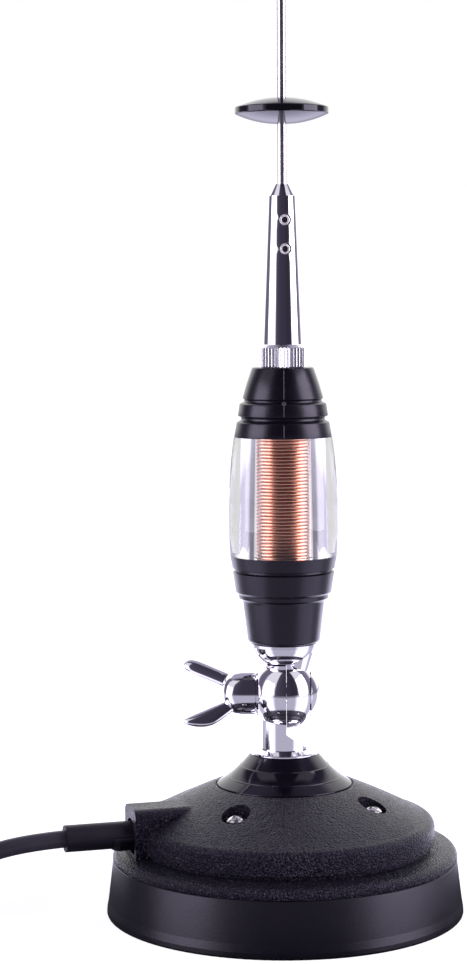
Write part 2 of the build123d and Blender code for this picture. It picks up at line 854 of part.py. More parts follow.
def make_upper_cap():
    """Upper moulding of the coil housing: two ringed bands under a rounded cone."""
    groove_1 = shell_top + upper_band_1_height
    foot_2 = groove_1 + upper_groove_height
    groove_2 = foot_2 + upper_band_2_height
    foot_3 = groove_2 + upper_groove_height
    cap = turned(
        (0, shell_top),
        (upper_mouth_r, shell_top),
        (upper_band_1_r, groove_1),
        (upper_band_1_r - upper_groove_depth, groove_1 + 0.65 * upper_groove_height),
        (upper_band_2_foot_r, foot_2),
        (upper_band_2_r, groove_2),
        (upper_band_2_r - upper_groove_depth, groove_2 + 0.65 * upper_groove_height),
        (upper_cone_foot_r, foot_3),
        bulge(upper_cone_bulge, (upper_top_r, upper_top - upper_edge)),
        (upper_top_r - upper_edge, upper_top),
        (0, upper_top),
    )
    cap -= upright(winding_well_r, shell_top - 1, shell_top + winding_well)
    cap -= upright(coil_former_r + seat_gap, shell_top - 1, shell_top + former_seat)
    spigot_r = upper_mouth_r - shell_spigot_step
    recess = upright(spigot_r + shaft_gap, shell_top - 1, shell_top + shell_spigot + seat_gap)
    recess -= upright(shell_top_bore_r - shaft_gap, shell_top - 2, shell_top + shell_spigot + 1)
    insert_bottom = shell_top + former_seat + upper_insert_floor
    return cap - recess - upright(insert_r + seat_gap, insert_bottom, upper_top + 1)


def make_upper_insert():
    """Brass bush of the upper cap with the stud that carries the whip holder."""
    bottom = shell_top + former_seat + upper_insert_floor + seat_gap
    stud_top = holder_bottom + holder_stud_depth - 0.4
    return upright(insert_r, bottom, upper_top) + upright(stud_r, upper_top, stud_top)


def holder_radius(z):
    """Radius of the whip holder's taper at a height."""
    foot = holder_bottom + knurl_height
    run = holder_top - holder_cone - foot
    return holder_foot_r + (holder_shoulder_r - holder_foot_r) * (z - foot) / run


def set_screw_heights():
    """Heights of the two set screws."""
    top = holder_top - set_screw_top_drop
    return (top, top - set_screw_spacing)


def radial_rod(radius, start, end, z):
    """A cylinder that points out of the whip's axis towards the set screws."""
    rod = Pos((start + end) / 2, 0, z) * Rot(0, 90, 0) * Cylinder(radius, end - start)
    return Rot(0, 0, set_screw_angle) * rod


def make_whip_holder():
    """Tapered ferrule with a straight-knurled foot, bored for the whip and the coil's stud."""
    knurl_top = holder_bottom + knurl_height
    body = turned(
        (0, holder_bottom),
        (knurl_r - 0.4, holder_bottom),
        (knurl_r, holder_bottom + 0.4),
        (knurl_r, knurl_top - knurl_bevel),
        (holder_foot_r + 0.1, knurl_top),
        (holder_foot_r, knurl_top),
        (holder_shoulder_r, holder_top - holder_cone),
        (holder_tip_r, holder_top),
        (0, holder_top),
    )
    half_notch = math.pi * knurl_r / knurl_ridges - knurl_flat / 2
    half_width = half_notch * (1 + knurl_bite / knurl_depth)
    notch_face = make_face(
        Polyline(
            (knurl_r - knurl_depth, 0),
            (knurl_r + knurl_bite, -half_width),
            (knurl_r + knurl_bite, half_width),
            close=True,
        )
    )
    notch = Pos(0, 0, holder_bottom - 1) * extrude(notch_face, amount=knurl_height + 2)
    for ridge in range(knurl_ridges):
        body -= Rot(0, 0, ridge * 360 / knurl_ridges) * notch
    body -= upright(stud_r + shaft_gap, holder_bottom - 1, holder_bottom + holder_stud_depth)
    body -= upright(whip_r + shaft_gap, holder_bottom + holder_stud_depth + holder_floor, holder_top + 1)
    for z in set_screw_heights():
        mouth = holder_radius(z) - set_screw_mouth
        body -= radial_rod(set_screw_r + shaft_gap, 0, 2 * knurl_r, z)
        body -= radial_rod(set_screw_mouth_r, mouth, 2 * knurl_r, z)
    return body


def make_set_screws():
    """Two hex-socket grub screws that grip the whip."""
    socket_r = hex_socket_flats / 2 / math.cos(math.radians(30))
    screws = []
    for z in set_screw_heights():
        start = whip_r + face_gap
        end = holder_radius(z) - set_screw_sink
        screw = radial_rod(set_screw_r, start, end, z)
        socket = Pos(end - hex_socket_depth, 0, z) * Rot(0, 90, 0)
        socket = Rot(0, 0, set_screw_angle) * socket * extrude(RegularPolygon(socket_r, 6), amount=5)
        screws.append(Part((screw - socket).wrapped))
    return Compound(children=screws)


def make_whip():
    """Straight stainless rod with a rounded tip."""
    return turned(
        (0, whip_bottom),
        (whip_r - 0.3, whip_bottom),
        (whip_r, whip_bottom + 0.3),
        (whip_r, overall_height - whip_r),
        bulge(crown(whip_r, whip_r), (0, overall_height)),
    )


def make_wind_disc():
    """Biconvex disc pressed on the whip, with a plain rim."""
    half_edge = disc_edge / 2
    crest = half_edge + disc_dome
    disc = turned(
        (0, disc_middle - crest),
        (whip_r, disc_middle - crest),
        bulge(disc_bulge, (disc_r - disc_bevel, disc_middle - half_edge)),
        (disc_r, disc_middle - half_edge + disc_bevel),
        (disc_r, disc_middle + half_edge - disc_bevel),
        (disc_r - disc_bevel, disc_middle + half_edge),
        bulge(disc_bulge, (whip_r, disc_middle + crest)),
        (0, disc_middle + crest),
    )
    return disc - upright(whip_r + seat_gap, disc_middle - disc_r, disc_middle + disc_r)


def make_cable_grommet():
    """Rubber grommet set back in the mouth of the hump, with a trough that carries the sleeve outside."""
    start = hump_reach - grommet_length
    ring_end = hump_reach - grommet_inset
    trough_end = hump_reach + trough_length
    bore_r = sleeve_r + seat_gap
    profile = outline(
        (start, bore_r),
        (trough_end, bore_r),
        (trough_end, bore_r + trough_edge),
        (trough_end - trough_slant, grommet_r),
        (start, grommet_r),
    )
    grommet = revolve(Pos(0, 0, cable_z) * (Plane.XZ * profile), Axis((0, 0, cable_z), (1, 0, 0)))
    reach = 2 * grommet_r
    grommet -= block((ring_end, 2 * hump_reach), (-reach, reach), (cable_z, cable_z + reach))
    return along_hump(grommet)


def make_cable_sleeve():
    """Shrink sleeve over the cable, from inside the grommet outwards."""
    start = hump_reach - grommet_length
    sleeve = hump_rod(sleeve_r, start, sleeve_reach)
    return sleeve - hump_rod(cable_r + sleeve_bore_gap, start - 1, sleeve_reach + 1)


def corner_radii(route):
    """An arc for each corner of a route, as large as its two runs allow."""
    radii = []
    for before, corner, after in zip(route, route[1:], route[2:]):
        run_in = Vector(*corner) - Vector(*before)
        run_out = Vector(*after) - Vector(*corner)
        half_turn = math.radians(run_in.get_angle(run_out)) / 2
        radii.append(0.45 * min(run_in.length, run_out.length) / math.tan(half_turn))
    return radii


def cable_tube(name, route):
    """A round cable swept along straight runs and tangent arcs."""
    radii = corner_radii(route)
    print(name, "radii", [round(radius) for radius in radii])
    path = FilletPolyline(*route, radius=radii)
    start = Plane(origin=path @ 0, z_dir=path % 0)
    return sweep(start * Circle(cable_r), path=path)


def hump_point(distance):
    """A point on the cable's axis at a distance from the whip's axis."""
    angle = math.radians(hump_angle)
    return (distance * math.cos(angle), distance * math.sin(angle), cable_z)


def make_cable_end():
    """The held stretch of the cable, from the stripped end inside the base to the sleeve's end."""
    return hump_rod(cable_r, cable_end_r, sleeve_reach)


def make_cable_coil():
    """The closed outer shape of the put-away turns."""
    bottom = coil_lift
    ring = Pos(0, 0, bottom + coil_thickness / 2) * (
        Cylinder(coil_outer_r, coil_thickness) - Cylinder(coil_inner_r, coil_thickness)
    )
    return Pos(*coil_centre, 0) * ring


def make_coil_ties():
    """Two bands that hold the turns together."""
    near = math.sqrt(coil_inner_r**2 - (tie_width / 2) ** 2) - seat_gap
    far = coil_outer_r + seat_gap
    height = coil_thickness + 2 * seat_gap
    inside = Box(far - near, 2 * tie_width, height)
    outside = Box(far - near + 2 * tie_thickness, tie_width, height + 2 * tie_thickness)
    band = Pos((near + far) / 2, 0, coil_lift + coil_thickness / 2) * (outside - inside)
    bands = [Pos(*coil_centre, 0) * Rot(0, 0, angle) * band for angle in tie_angles]
    return Compound(children=[Part(placed.wrapped) for placed in bands])


def plug_turned(*steps):
    """A piece of the plug, turned from a profile of radius and distance along the plug."""
    return Pos(*plug_mouth) * Rot(-90, 0, 0) * turned(*steps)


def make_plug_pieces():
    """Reducer, body, insulator, centre pin and coupling ring of the screw-ring plug."""
    body_start = plug_reducer_out
    flange_start = plug_ring_offset + plug_ring_back + plug_ring_play
    flange_end = flange_start + plug_flange
    nose_end = flange_end + plug_nose
    ring_end = plug_ring_offset + plug_ring_length
    pin_end = nose_end + plug_pin_length
    bore = cable_r + shaft_gap
    reducer_in_r = plug_reducer_r - plug_reducer_step
    reducer = plug_turned(
        (bore, 0),
        (plug_reducer_r - 0.5, 0),
        (plug_reducer_r, 0.5),
        (plug_reducer_r, body_start - seat_gap),
        (reducer_in_r, body_start - seat_gap),
        (reducer_in_r, body_start + plug_reducer_in),
        (bore, body_start + plug_reducer_in),
    )
    socket_r = reducer_in_r + shaft_gap
    socket_end = body_start + plug_reducer_in + 0.2
    body = plug_turned(
        (socket_r, body_start),
        (plug_body_r - 0.4, body_start),
        (plug_body_r, body_start + 0.4),
        (plug_body_r, flange_start),
        (plug_flange_r, flange_start),
        (plug_flange_r, flange_end),
        (plug_nose_r, flange_end),
        (plug_nose_r, nose_end),
        (plug_nose_bore_r, nose_end),
        (plug_nose_bore_r, flange_start),
        (plug_pin_r + plug_core_gap, flange_start),
        (plug_pin_r + plug_core_gap, socket_end),
        (socket_r, socket_end),
    )
    insulator = plug_turned(
        (plug_pin_tail_r + seat_gap, flange_start + seat_gap),
        (plug_nose_bore_r - seat_gap, flange_start + seat_gap),
        (plug_nose_bore_r - seat_gap, nose_end - seat_gap),
        (plug_pin_tail_r + seat_gap, nose_end - seat_gap),
    )
    pin = plug_turned(
        (0, socket_end + 0.5),
        (plug_pin_tail_r, socket_end + 0.5),
        (plug_pin_tail_r, nose_end),
        (plug_pin_r, nose_end),
        (plug_pin_r, pin_end - plug_pin_nose),
        bulge(crown(plug_pin_r, plug_pin_nose), (0, pin_end)),
    )
    ring = plug_turned(
        (plug_body_r + turn_gap, plug_ring_offset),
        (plug_ring_r - 0.6, plug_ring_offset),
        (plug_ring_r, plug_ring_offset + 0.6),
        (plug_ring_r, ring_end - 0.6),
        (plug_ring_r - 0.6, ring_end),
        (plug_ring_bore_r, ring_end),
        (plug_ring_bore_r, plug_ring_offset + plug_ring_back),
        (plug_body_r + turn_gap, plug_ring_offset + plug_ring_back),
    )
    return {
        "plug_reducer": reducer,
        "plug_body": body,
        "plug_insulator": insulator,
        "plug_pin": pin,
        "plug_ring": ring,
    }


def nut_heights():
    """Heights of the clamp nut, washer and tag under the cover's roof."""
    tag_top = roof_z - seat_gap
    washer_top = tag_top - solder_tag_thickness - seat_gap
    nut_top = washer_top - lock_washer_thickness - seat_gap
    return tag_top, washer_top, nut_top


def make_solder_tag():
    """Ring terminal on the shank, with a tongue towards the cable."""
    tag_top = nut_heights()[0]
    bottom = tag_top - solder_tag_thickness
    tongue = block((0, solder_tag_r + 7), (-2.2, 2.2), (bottom, tag_top))
    tag = upright(solder_tag_r, bottom, tag_top) + along_hump(tongue)
    return tag - upright(shank_r + shaft_gap, bottom - 1, tag_top + 1)


def make_lock_washer():
    """Lock washer between tag and nut."""
    washer_top = nut_heights()[1]
    bottom = washer_top - lock_washer_thickness
    return upright(solder_tag_r, bottom, washer_top) - upright(shank_r + shaft_gap, bottom - 1, washer_top + 1)


def make_clamp_nut():
    """Hex nut on the pillar's shank."""
    nut_top = nut_heights()[2]
    bottom = nut_top - clamp_nut_height
    hexagon = RegularPolygon(nut_flats / 2 / math.cos(math.radians(30)), 6)
    return Pos(0, 0, bottom) * extrude(hexagon, amount=clamp_nut_height) - upright(
        shank_r + shaft_gap, bottom - 1, nut_top + 1
    )


def make_leads():
    """The stripped end: the feed wire up to the solder tag and the braid down to the ground tag."""
    tag_top = nut_heights()[0]
    tag_bottom = tag_top - solder_tag_thickness
    angle = math.radians(hump_angle)
    ground = math.radians(ground_tag_angle)
    start = Vector(*hump_point(cable_end_r - seat_gap))
    tongue_r = solder_tag_r + 5
    tongue = Vector(tongue_r * math.cos(angle), tongue_r * math.sin(angle), tag_bottom - seat_gap)
    feed_knee = Vector(tongue.X, tongue.Y, start.Z)
    feed = FilletPolyline(start, feed_knee, tongue, radius=3)
    plane = Plane(origin=feed @ 0, z_dir=feed % 0)
    conductor = sweep(plane * Circle(lead_r), path=feed)
    ground_r = ground_tag_circle_r - 5.5
    landing_z = cup_top + 2 * seat_gap + solder_tag_thickness
    landing = Vector(ground_r * math.cos(ground), ground_r * math.sin(ground), landing_z)
    braid_start = Vector(*hump_point(cable_end_r - lead_r - 2 * seat_gap))
    low_start = braid_start + Vector(0, 0, -2 * lead_r - 0.2)
    braid_knee = Vector(landing.X, landing.Y, low_start.Z)
    braid_path = FilletPolyline(low_start, braid_knee, landing, radius=3)
    braid_plane = Plane(origin=braid_path @ 0, z_dir=braid_path % 0)
    braid = sweep(braid_plane * Circle(lead_r), path=braid_path)
    return conductor, braid


def make_ground_tag():
    """Ring terminal flat on the cup's top plate."""
    bottom = cup_top + seat_gap
    top = bottom + solder_tag_thickness
    tongue = block((-7.5, 0), (-1.6, 1.6), (bottom, top))
    tag = upright(ground_tag_r, bottom, top) + tongue - upright(ground_screw_r + shaft_gap, bottom - 1, top + 1)
    return Rot(0, 0, ground_tag_angle) * Pos(ground_tag_circle_r, 0, 0) * tag


def make_ground_screw():
    """Small pan-head screw that holds the ground tag."""
    seat = cup_top + 2 * seat_gap + solder_tag_thickness
    tip = cup_top - cup_thickness + seat_gap
    screw = turned(
        (0, tip),
        (ground_screw_r, tip),
        (ground_screw_r, seat),
        (ground_head_r, seat),
        (ground_head_r, seat + 0.6 * ground_head_height),
        bulge(crown(ground_head_r, 0.4 * ground_head_height), (0, seat + ground_head_height)),
    )
    return Rot(0, 0, ground_tag_angle) * Pos(ground_tag_circle_r, 0, 0) * screw


def make_cable_clip():
    """Saddle that holds the cable inside the base, standing on the steel cup."""
    middle = (cable_end_r + hump_reach - grommet_length) / 2
    inside = cable_r + seat_gap
    outside = inside + clip_thickness
    bottom = cup_top + seat_gap
    saddle = hump_rod(outside, middle - clip_width / 2, middle + clip_width / 2)
    legs = block((middle - clip_width / 2, middle + clip_width / 2), (-outside, outside), (bottom, cable_z))
    slot_x = (middle - clip_width, middle + clip_width)
    slot = block(slot_x, (-inside, inside), (bottom + clip_thickness, cable_z))
    clip = saddle + along_hump(legs - slot)
    return clip - hump_rod(inside, middle - clip_width, middle + clip_width)


def build_all():
    """Every node with its name."""
    conductor, braid = make_leads()
    free_route = [hump_point(sleeve_reach)] + cable_route
    pieces = {
        "rubber_boot": make_rubber_boot(),
        "steel_cup": make_steel_cup(),
        "ring_magnet": make_ring_magnet(),
        "centre_pole": make_centre_pole(),
        "base_cover": make_base_cover(),
        "cover_screws": make_cover_screws(),
        "cone_collar": make_cone_collar(),
        "lower_knuckle": make_lower_knuckle(),
        "solder_tag": make_solder_tag(),
        "lock_washer": make_lock_washer(),
        "clamp_nut": make_clamp_nut(),
        "centre_conductor": conductor,
        "braid_lead": braid,
        "ground_tag": make_ground_tag(),
        "ground_screw": make_ground_screw(),
        "cable_clip": make_cable_clip(),
        "cable_grommet": make_cable_grommet(),
        "cable_sleeve": make_cable_sleeve(),
        "cable_end": make_cable_end(),
        "cable": cable_tube("cable", free_route),
        "cable_coil": make_cable_coil(),
        "coil_ties": make_coil_ties(),
        "cable_tail": cable_tube("tail", tail_route),
        "upper_knuckle": make_upper_knuckle(),
        "pivot_bolt": make_pivot_bolt(),
        "clamp_washer": make_clamp_washer(),
        "wing_nut": make_wing_nut(),
        "lower_cap": make_lower_cap(),
        "lower_insert": make_lower_insert(),
        "coil_former": make_coil_former(),
        "coil_winding": make_coil_winding(),
        "clear_shell": make_clear_shell(),
        "upper_cap": make_upper_cap(),
        "upper_insert": make_upper_insert(),
        "whip_holder": make_whip_holder(),
        "set_screws": make_set_screws(),
        "whip": make_whip(),
        "wind_disc": make_wind_disc(),
    }
    pieces.update(make_plug_pieces())
    return pieces


for name, piece in build_all().items():
    export_step(piece, "parts/" + name + ".step")
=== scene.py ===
import json
import math

import bpy
from mathutils import Matrix, Vector


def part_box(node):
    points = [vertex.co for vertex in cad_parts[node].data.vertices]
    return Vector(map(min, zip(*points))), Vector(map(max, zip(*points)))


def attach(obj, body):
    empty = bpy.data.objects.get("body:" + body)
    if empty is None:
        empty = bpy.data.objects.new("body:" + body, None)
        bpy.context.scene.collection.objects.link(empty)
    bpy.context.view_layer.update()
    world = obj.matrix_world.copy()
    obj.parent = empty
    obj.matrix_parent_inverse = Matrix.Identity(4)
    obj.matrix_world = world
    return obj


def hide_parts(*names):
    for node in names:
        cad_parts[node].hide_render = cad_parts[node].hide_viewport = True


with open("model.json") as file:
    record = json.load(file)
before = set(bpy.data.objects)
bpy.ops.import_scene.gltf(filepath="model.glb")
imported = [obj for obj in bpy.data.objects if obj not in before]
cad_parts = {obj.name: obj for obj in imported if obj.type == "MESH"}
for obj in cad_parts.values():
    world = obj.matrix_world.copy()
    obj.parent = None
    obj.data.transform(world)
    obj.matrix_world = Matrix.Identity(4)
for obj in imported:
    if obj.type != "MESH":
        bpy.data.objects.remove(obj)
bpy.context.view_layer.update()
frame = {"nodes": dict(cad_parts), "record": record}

nodes = frame["nodes"]
mm = 0.001

# Camera, worked out from the base's width and the ellipses of its foot
image_height = 964
focal_px = 2250.0
camera_distance = 0.777
camera_height = 0.2156
camera_pitch = 4.76
camera_yaw = 1.27
camera_roll = -0.35
sensor = 36.0
nearest_seen = 0.05
farthest_seen = 20

# Softboxes: angle from the front, height, width, tallness and brightness
left_softbox = (-67, 0.26, 0.72, 0.8, 2.9)
right_softbox = (76, 0.36, 0.7, 1.1, 3.6)
top_softbox = (0, 1.3, 0.6, 0.6, 0.9)
top_softbox_place = (0, 0.1, 1.3)
lamp_distance = 0.95
lamp_target = 0.2
lamp_tint = (0.98, 0.93, 1.1)
fill_light = (0.2, 0.185, 0.24)

# Studio that shiny pieces mirror: its walls as angle from the front and grey, and where they meet
# each other and the ceiling
left_wall = [(0, 0.04), (38, 0.08), (42, 0.8), (90, 0.8), (96, 0.14), (122, 0.14), (136, 1.5)]
right_wall = [(0, 0.04), (30, 0.03), (50, 0.035), (55, 0.8), (97, 0.8), (103, 0.14), (122, 0.24), (136, 1.5)]
wall_tint = (1.08, 0.92, 1.5)
wall_seam = (-0.2, 0.2)
ceiling_edge = (0.84, 0.94)
ceiling_slope = 0.3
ceiling_colour = (0.05, 0.045, 0.065)
back_ceiling_colour = (0.4, 0.36, 0.5)
ceiling_middle = (-0.05, 0.2)

# Floor: as seen, by distance from the whip; as mirrored, a painted reflection, with painted shade by
# distance from the mirror, dark close to the base, and painted light by angle from the front
floor_size = 8
floor_grey = (0.8, 0.8, 0.8)
floor_seen_reach = 1.0
floor_seen = [(0.0, 0.8), (0.4, 0.85), (1.0, 1.0)]
floor_mirrored_reach = 1.2
floor_mirrored_painted_shade = [(0.0, 0.02), (0.065, 0.05), (0.115, 0.5), (0.45, 0.5), (1.1, 0.16)]
floor_painted_light_round = [(0, 1.0), (38, 1.0), (50, 2.8), (92, 2.8), (100, 1.2), (122, 1.2), (136, 5.0)]
floor_painted_glow_tint = (0.97, 0.93, 1.18)
floor_through_barrel = 0.86

# Patterns of the shared effects
cloud_range = (0.3, 0.7)
mark_stretch = (0.02, 0.02, 1)
pebble_warp_scale = 480
pebble_warp = (0.0018, 0.0018, 0.0018)
crease_width = 0.28
fine_grain_scale = 3400

# Plated finishes: colour, least and greatest roughness, height of the turning marks
chrome_colour = (0.9, 0.89, 0.92)
plated_finishes = {
    "plated_steel": ((0.62, 0.62, 0.6), 0.25, 0.38, 0.00001),
    "screw_steel": ((0.86, 0.84, 0.83), 0.16, 0.26, 0.0),
    "chrome": (chrome_colour, 0.03, 0.07, 0.0),
    "tinned_brass": ((0.7, 0.68, 0.62), 0.25, 0.4, 0.0),
    "brass": ((0.72, 0.55, 0.28), 0.18, 0.3, 0.00001),
    "copper": ((1.0, 0.54, 0.36), 0.18, 0.26, 0.0),
    "stainless": ((0.76, 0.73, 0.75), 0.22, 0.3, 0.0),
    "nickel": ((0.74, 0.72, 0.68), 0.12, 0.22, 0.0),
}

# Moulded finishes: dark and light colour, least and greatest roughness, depth and scale of the grain
moulded_finishes = {
    "boot_rubber": ((0.0034, 0.0028, 0.006), (0.005, 0.0042, 0.0085), 0.3, 0.38, 0.00004, 2400),
    "ferrite": ((0.035, 0.035, 0.038), (0.06, 0.06, 0.062), 0.6, 0.8, 0.00008, 1800),
    "gloss_black": ((0.0045, 0.0036, 0.0085), (0.0062, 0.005, 0.0105), 0.08, 0.13, 0.00001, 500),
    "shrink_sleeve": ((0.0075, 0.006, 0.0115), (0.012, 0.0095, 0.017), 0.38, 0.5, 0.00006, 1200),
    "cable_jacket": ((0.034, 0.031, 0.042), (0.05, 0.046, 0.06), 0.32, 0.42, 0.00003, 1500),
    "tie_plastic": ((0.02, 0.02, 0.02), (0.035, 0.035, 0.035), 0.45, 0.6, 0.00005, 1500),
    "satin_black": ((0.0048, 0.0038, 0.0085), (0.0066, 0.0054, 0.011), 0.24, 0.32, 0.00002, 1600),
    "former_board": ((0.42, 0.24, 0.12), (0.55, 0.33, 0.18), 0.4, 0.55, 0.00003, 900),
    "disc_black": ((0.005, 0.0045, 0.007), (0.007, 0.006, 0.009), 0.07, 0.12, 0.00001, 900),
    "plug_resin": ((0.68, 0.62, 0.5), (0.78, 0.72, 0.6), 0.4, 0.5, 0.00003, 1200),
    # The parting line's lighter grey is a painted highlight on the raised line
    "parting_line_highlight": ((0.06, 0.055, 0.07), (0.1, 0.09, 0.11), 0.3, 0.4, 0.0, 0),
}
plastic_shine = (0.92, 0.86, 1.0)
boot_shine = 0.6

# Grained cover
cover_shine = 0.36
cover_shine_tint = (0.82, 0.75, 1.0)
cover_dark = (0.005, 0.004, 0.009)
cover_light = (0.009, 0.007, 0.016)
cover_grain_depth = 0.0004

# Clear barrel, and its bore, with painted shade where it is seen edge on
clear_colour = (0.9, 0.89, 0.895)
clear_ior = 1.49
bore_pale = (0.95, 0.94, 0.945)
bore_painted_shade = (0.05, 0.04, 0.055)
bore_fade = (0.74, 0.88)

# Whip holder: the height of its knurl and of the change to the polish above, and their roughness
knurl_height = 7.6
knurl_fade = 0.5
knurl_roughness = 0.3
polish_roughness = 0.04

# From here on, places and sizes are in millimetres, unless mm turns them into metres

# Free cable, from the end of its sleeve to the plug: the points of the solid cable
cable_r = 3.05 * mm
cable_exit = (-75.0, -23.5, 30.9)
cable_route = [
    (-86.0, -26.95, 30.5),
    (-100.0, -31.6, 28.2),
    (-112.5, -36.3, 22.6),
    (-124.0, -41.2, 14.9),
    (-135.5, -46.3, 8.6),
    (-148.0, -50.9, 4.6),
]
tail_route = [
    (-209.7, -6.0, 22.0),
    (-210.2, 9.0, 21.4),
    (-210.6, 23.0, 18.0),
    (-210.4, 37.0, 12.8),
    (-210.0, 50.0, 9.6),
    (-210.0, 62.0, 9.2),
    (-210.0, 73.0, 9.18),
]

# Put-away coil, wound from the outer turn in and out again, layer on layer
coil_centre = (-163.0, -8.0)
coil_lift = 0.9
coil_outer_turn = 46.95
coil_inner_turn = 22.05
coil_layers = 4
layer_rise = 6.1
layer_turns = 4.0
climb_turns = 0.37
turn_points = 18

# Coil housing, as radius and height above the lower edge of each moulding
barrel_gap = 0.02
barrel_bore_r = 9.75
barrel_foot = [(10.5, 0.0), (16.02, 0.0), (16.02, -2.9), (17.15, -2.9), (17.15, 0.0)]
barrel_outside = [
    (18.5, 0.0),
    (18.77, 5.0),
    (18.92, 10.0),
    (18.95, 14.0),
    (18.86, 19.5),
    (18.6, 25.5),
    (18.16, 31.5),
    (17.66, 36.5),
    (17.05, 41.16),
]
bore_limit_r = 10.55
cap_outside = [
    (16.9, 0.0),
    (16.05, 5.0),
    (14.6, 5.8),
    (14.45, 6.6),
    (15.6, 7.3),
    (15.0, 11.4),
    (13.5, 12.1),
    (13.35, 12.75),
    (13.95, 13.3),
    (12.5, 18.3),
    (10.75, 23.4),
    (10.35, 23.9),
]
cap_inside = [(5.45, 23.9), (5.45, 9.0), (8.3, 9.0), (8.3, 2.45), (9.72, 2.45), (9.72, 0.0)]

# Parting line of the cap's mould, in runs down its front, and the pip on it
mould_runs = [
    [(16.9, 0.3), (16.1, 4.7)],
    [(15.6, 7.4), (15.05, 11.2)],
    [(13.95, 13.4), (12.5, 18.3), (10.8, 23.3)],
]
mould_line_x = 0.35
mould_line_r = 0.14
mould_line_sink = 0.06
pip_r = 0.8
pip_front = -15.1
pip_rise = 11.9
pip_length = 0.9

# Wing nut: the hub as radius and distance from its seat, the wings as distance, radius, half width
# and half thickness
nut_gap = 0.03
wing_angle = 40.0
hub_outline = [
    (4.03, 8.6),
    (4.03, 0.0),
    (7.1, 0.0),
    (7.62, 0.5),
    (7.64, 2.8),
    (7.62, 5.2),
    (7.36, 7.4),
    (6.7, 9.3),
    (5.6, 10.7),
    (4.2, 11.45),
    (2.2, 11.85),
    (0.4, 12.0),
]
upper_slant = (-0.6, 0.8)
upper_stations = [
    (7.5, 3.6, 2.9, 2.1),
    (11.3, 5.4, 2.9, 2.0),
    (16.0, 7.7, 2.85, 1.9),
    (20.5, 9.9, 2.95, 1.8),
    (23.2, 11.2, 2.7, 1.6),
    (24.7, 11.9, 2.0, 1.2),
    (25.3, 12.2, 0.9, 0.6),
]
lower_slant = (-0.97, 0.24)
lower_stations = [
    (7.0, 3.6, 3.0, 1.9),
    (10.5, 5.75, 3.6, 1.85),
    (15.0, 8.5, 4.5, 1.75),
    (19.0, 11.0, 5.3, 1.6),
    (20.8, 12.0, 5.0, 1.45),
    (21.9, 12.65, 3.7, 1.1),
    (22.5, 13.0, 1.7, 0.55),
]

# Cone under the knuckle, as radius and height above its foot
cone_outline = [
    (23.5, 0.0),
    (23.5, 0.62),
    (23.3, 0.8),
    (19.78, 3.0),
    (19.66, 3.22),
    (19.3, 3.27),
    (15.72, 6.82),
    (15.6, 7.04),
    (15.24, 7.09),
    (11.76, 11.1),
    (11.5, 11.27),
    (5.05, 11.27),
    (5.05, 0.0),
]

# Set screws: the height and the distance from the axis of their outer ends, and a rim for each
# socket as radius and distance from that end
set_screw_angle = -79.0
set_screw_ends = [(240.96, 4.46), (231.06, 4.9)]
rim_outline = [(1.04, 0.0), (1.06, 0.2), (1.16, 0.3), (1.4, 0.33), (1.62, 0.28), (1.8, 0.14), (1.86, 0.0)]

# Loading coil
wire_r = 0.55 * mm
wire_pitch = 1.15 * mm
wire_steps = 40
wire_sides = 8


def to_metres(point):
    """A point in millimetres, in metres."""
    return tuple(value * mm for value in point)


def deselect():
    """Back to object mode with nothing selected."""
    if bpy.context.mode != "OBJECT":
        bpy.ops.object.mode_set(mode="OBJECT")
    bpy.ops.object.select_all(action="DESELECT")


def make_active(piece):
    """Select one piece alone."""
    deselect()
    piece.select_set(True)
    bpy.context.view_layer.objects.active = piece


def dress(piece, material):
    """Give a piece one material."""
    piece.data.materials.clear()
    piece.data.materials.append(material)


# Camera and lamps


def make_camera():
    """The photograph's viewpoint."""
    data = bpy.data.cameras.new("photo_camera")
    data.sensor_width = sensor
    data.lens = sensor * focal_px / image_height
    data.clip_start = nearest_seen
    data.clip_end = farthest_seen
    camera = bpy.data.objects.new("photo_camera", data)
    bpy.context.scene.collection.objects.link(camera)
    camera.location = (0, -camera_distance, camera_height)
    yaw = Matrix.Rotation(math.radians(camera_yaw), 3, "Z")
    pitch = Matrix.Rotation(math.radians(90 - camera_pitch), 3, "X")
    roll = Matrix.Rotation(math.radians(camera_roll), 3, "Z")
    camera.rotation_euler = (yaw @ pitch @ roll).to_euler()
    bpy.context.scene.camera = camera


def add_softbox(name, side_angle, height, width, tall, brightness):
    """A rectangular lamp round the object, at an angle from the front, that faces the coil housing."""
    data = bpy.data.lights.new(name, "AREA")
    data.shape = "RECTANGLE"
    data.size = width
    data.size_y = tall
    data.energy = brightness * math.pi * width * tall
    data.color = lamp_tint
    lamp = bpy.data.objects.new(name, data)
    bpy.context.scene.collection.objects.link(lamp)
    angle = math.radians(side_angle)
    lamp.location = (lamp_distance * math.sin(angle), -lamp_distance * math.cos(angle), height)
    aim = Vector((0, 0, lamp_target)) - lamp.location
    lamp.rotation_euler = aim.to_track_quat("-Z", "Y").to_euler()
    lamp.visible_camera = False
    return lamp


def make_lights():
    """A tall softbox on each side, and a weak one above that nothing mirrors."""
    add_softbox("left_softbox", *left_softbox)
    add_softbox("right_softbox", *right_softbox)
    top = add_softbox("top_softbox", *top_softbox)
    top.visible_glossy = False
    top.location = top_softbox_place
    top.rotation_euler = (0, 0, 0)


# Shader nodes


def feed(tree, source, socket):
    """Link a socket to another node's output, or set it to a number or a colour."""
    if isinstance(source, bpy.types.NodeSocket):
        tree.links.new(source, socket)
    elif socket.type == "RGBA":
        socket.default_value = (*source, 1)
    else:
        socket.default_value = source


def link_math(tree, operation, *values):
    """A math node on outputs and numbers."""
    node = tree.nodes.new("ShaderNodeMath")
    node.operation = operation
    for value, socket in zip(values, node.inputs):
        feed(tree, value, socket)
    return node.outputs["Value"]


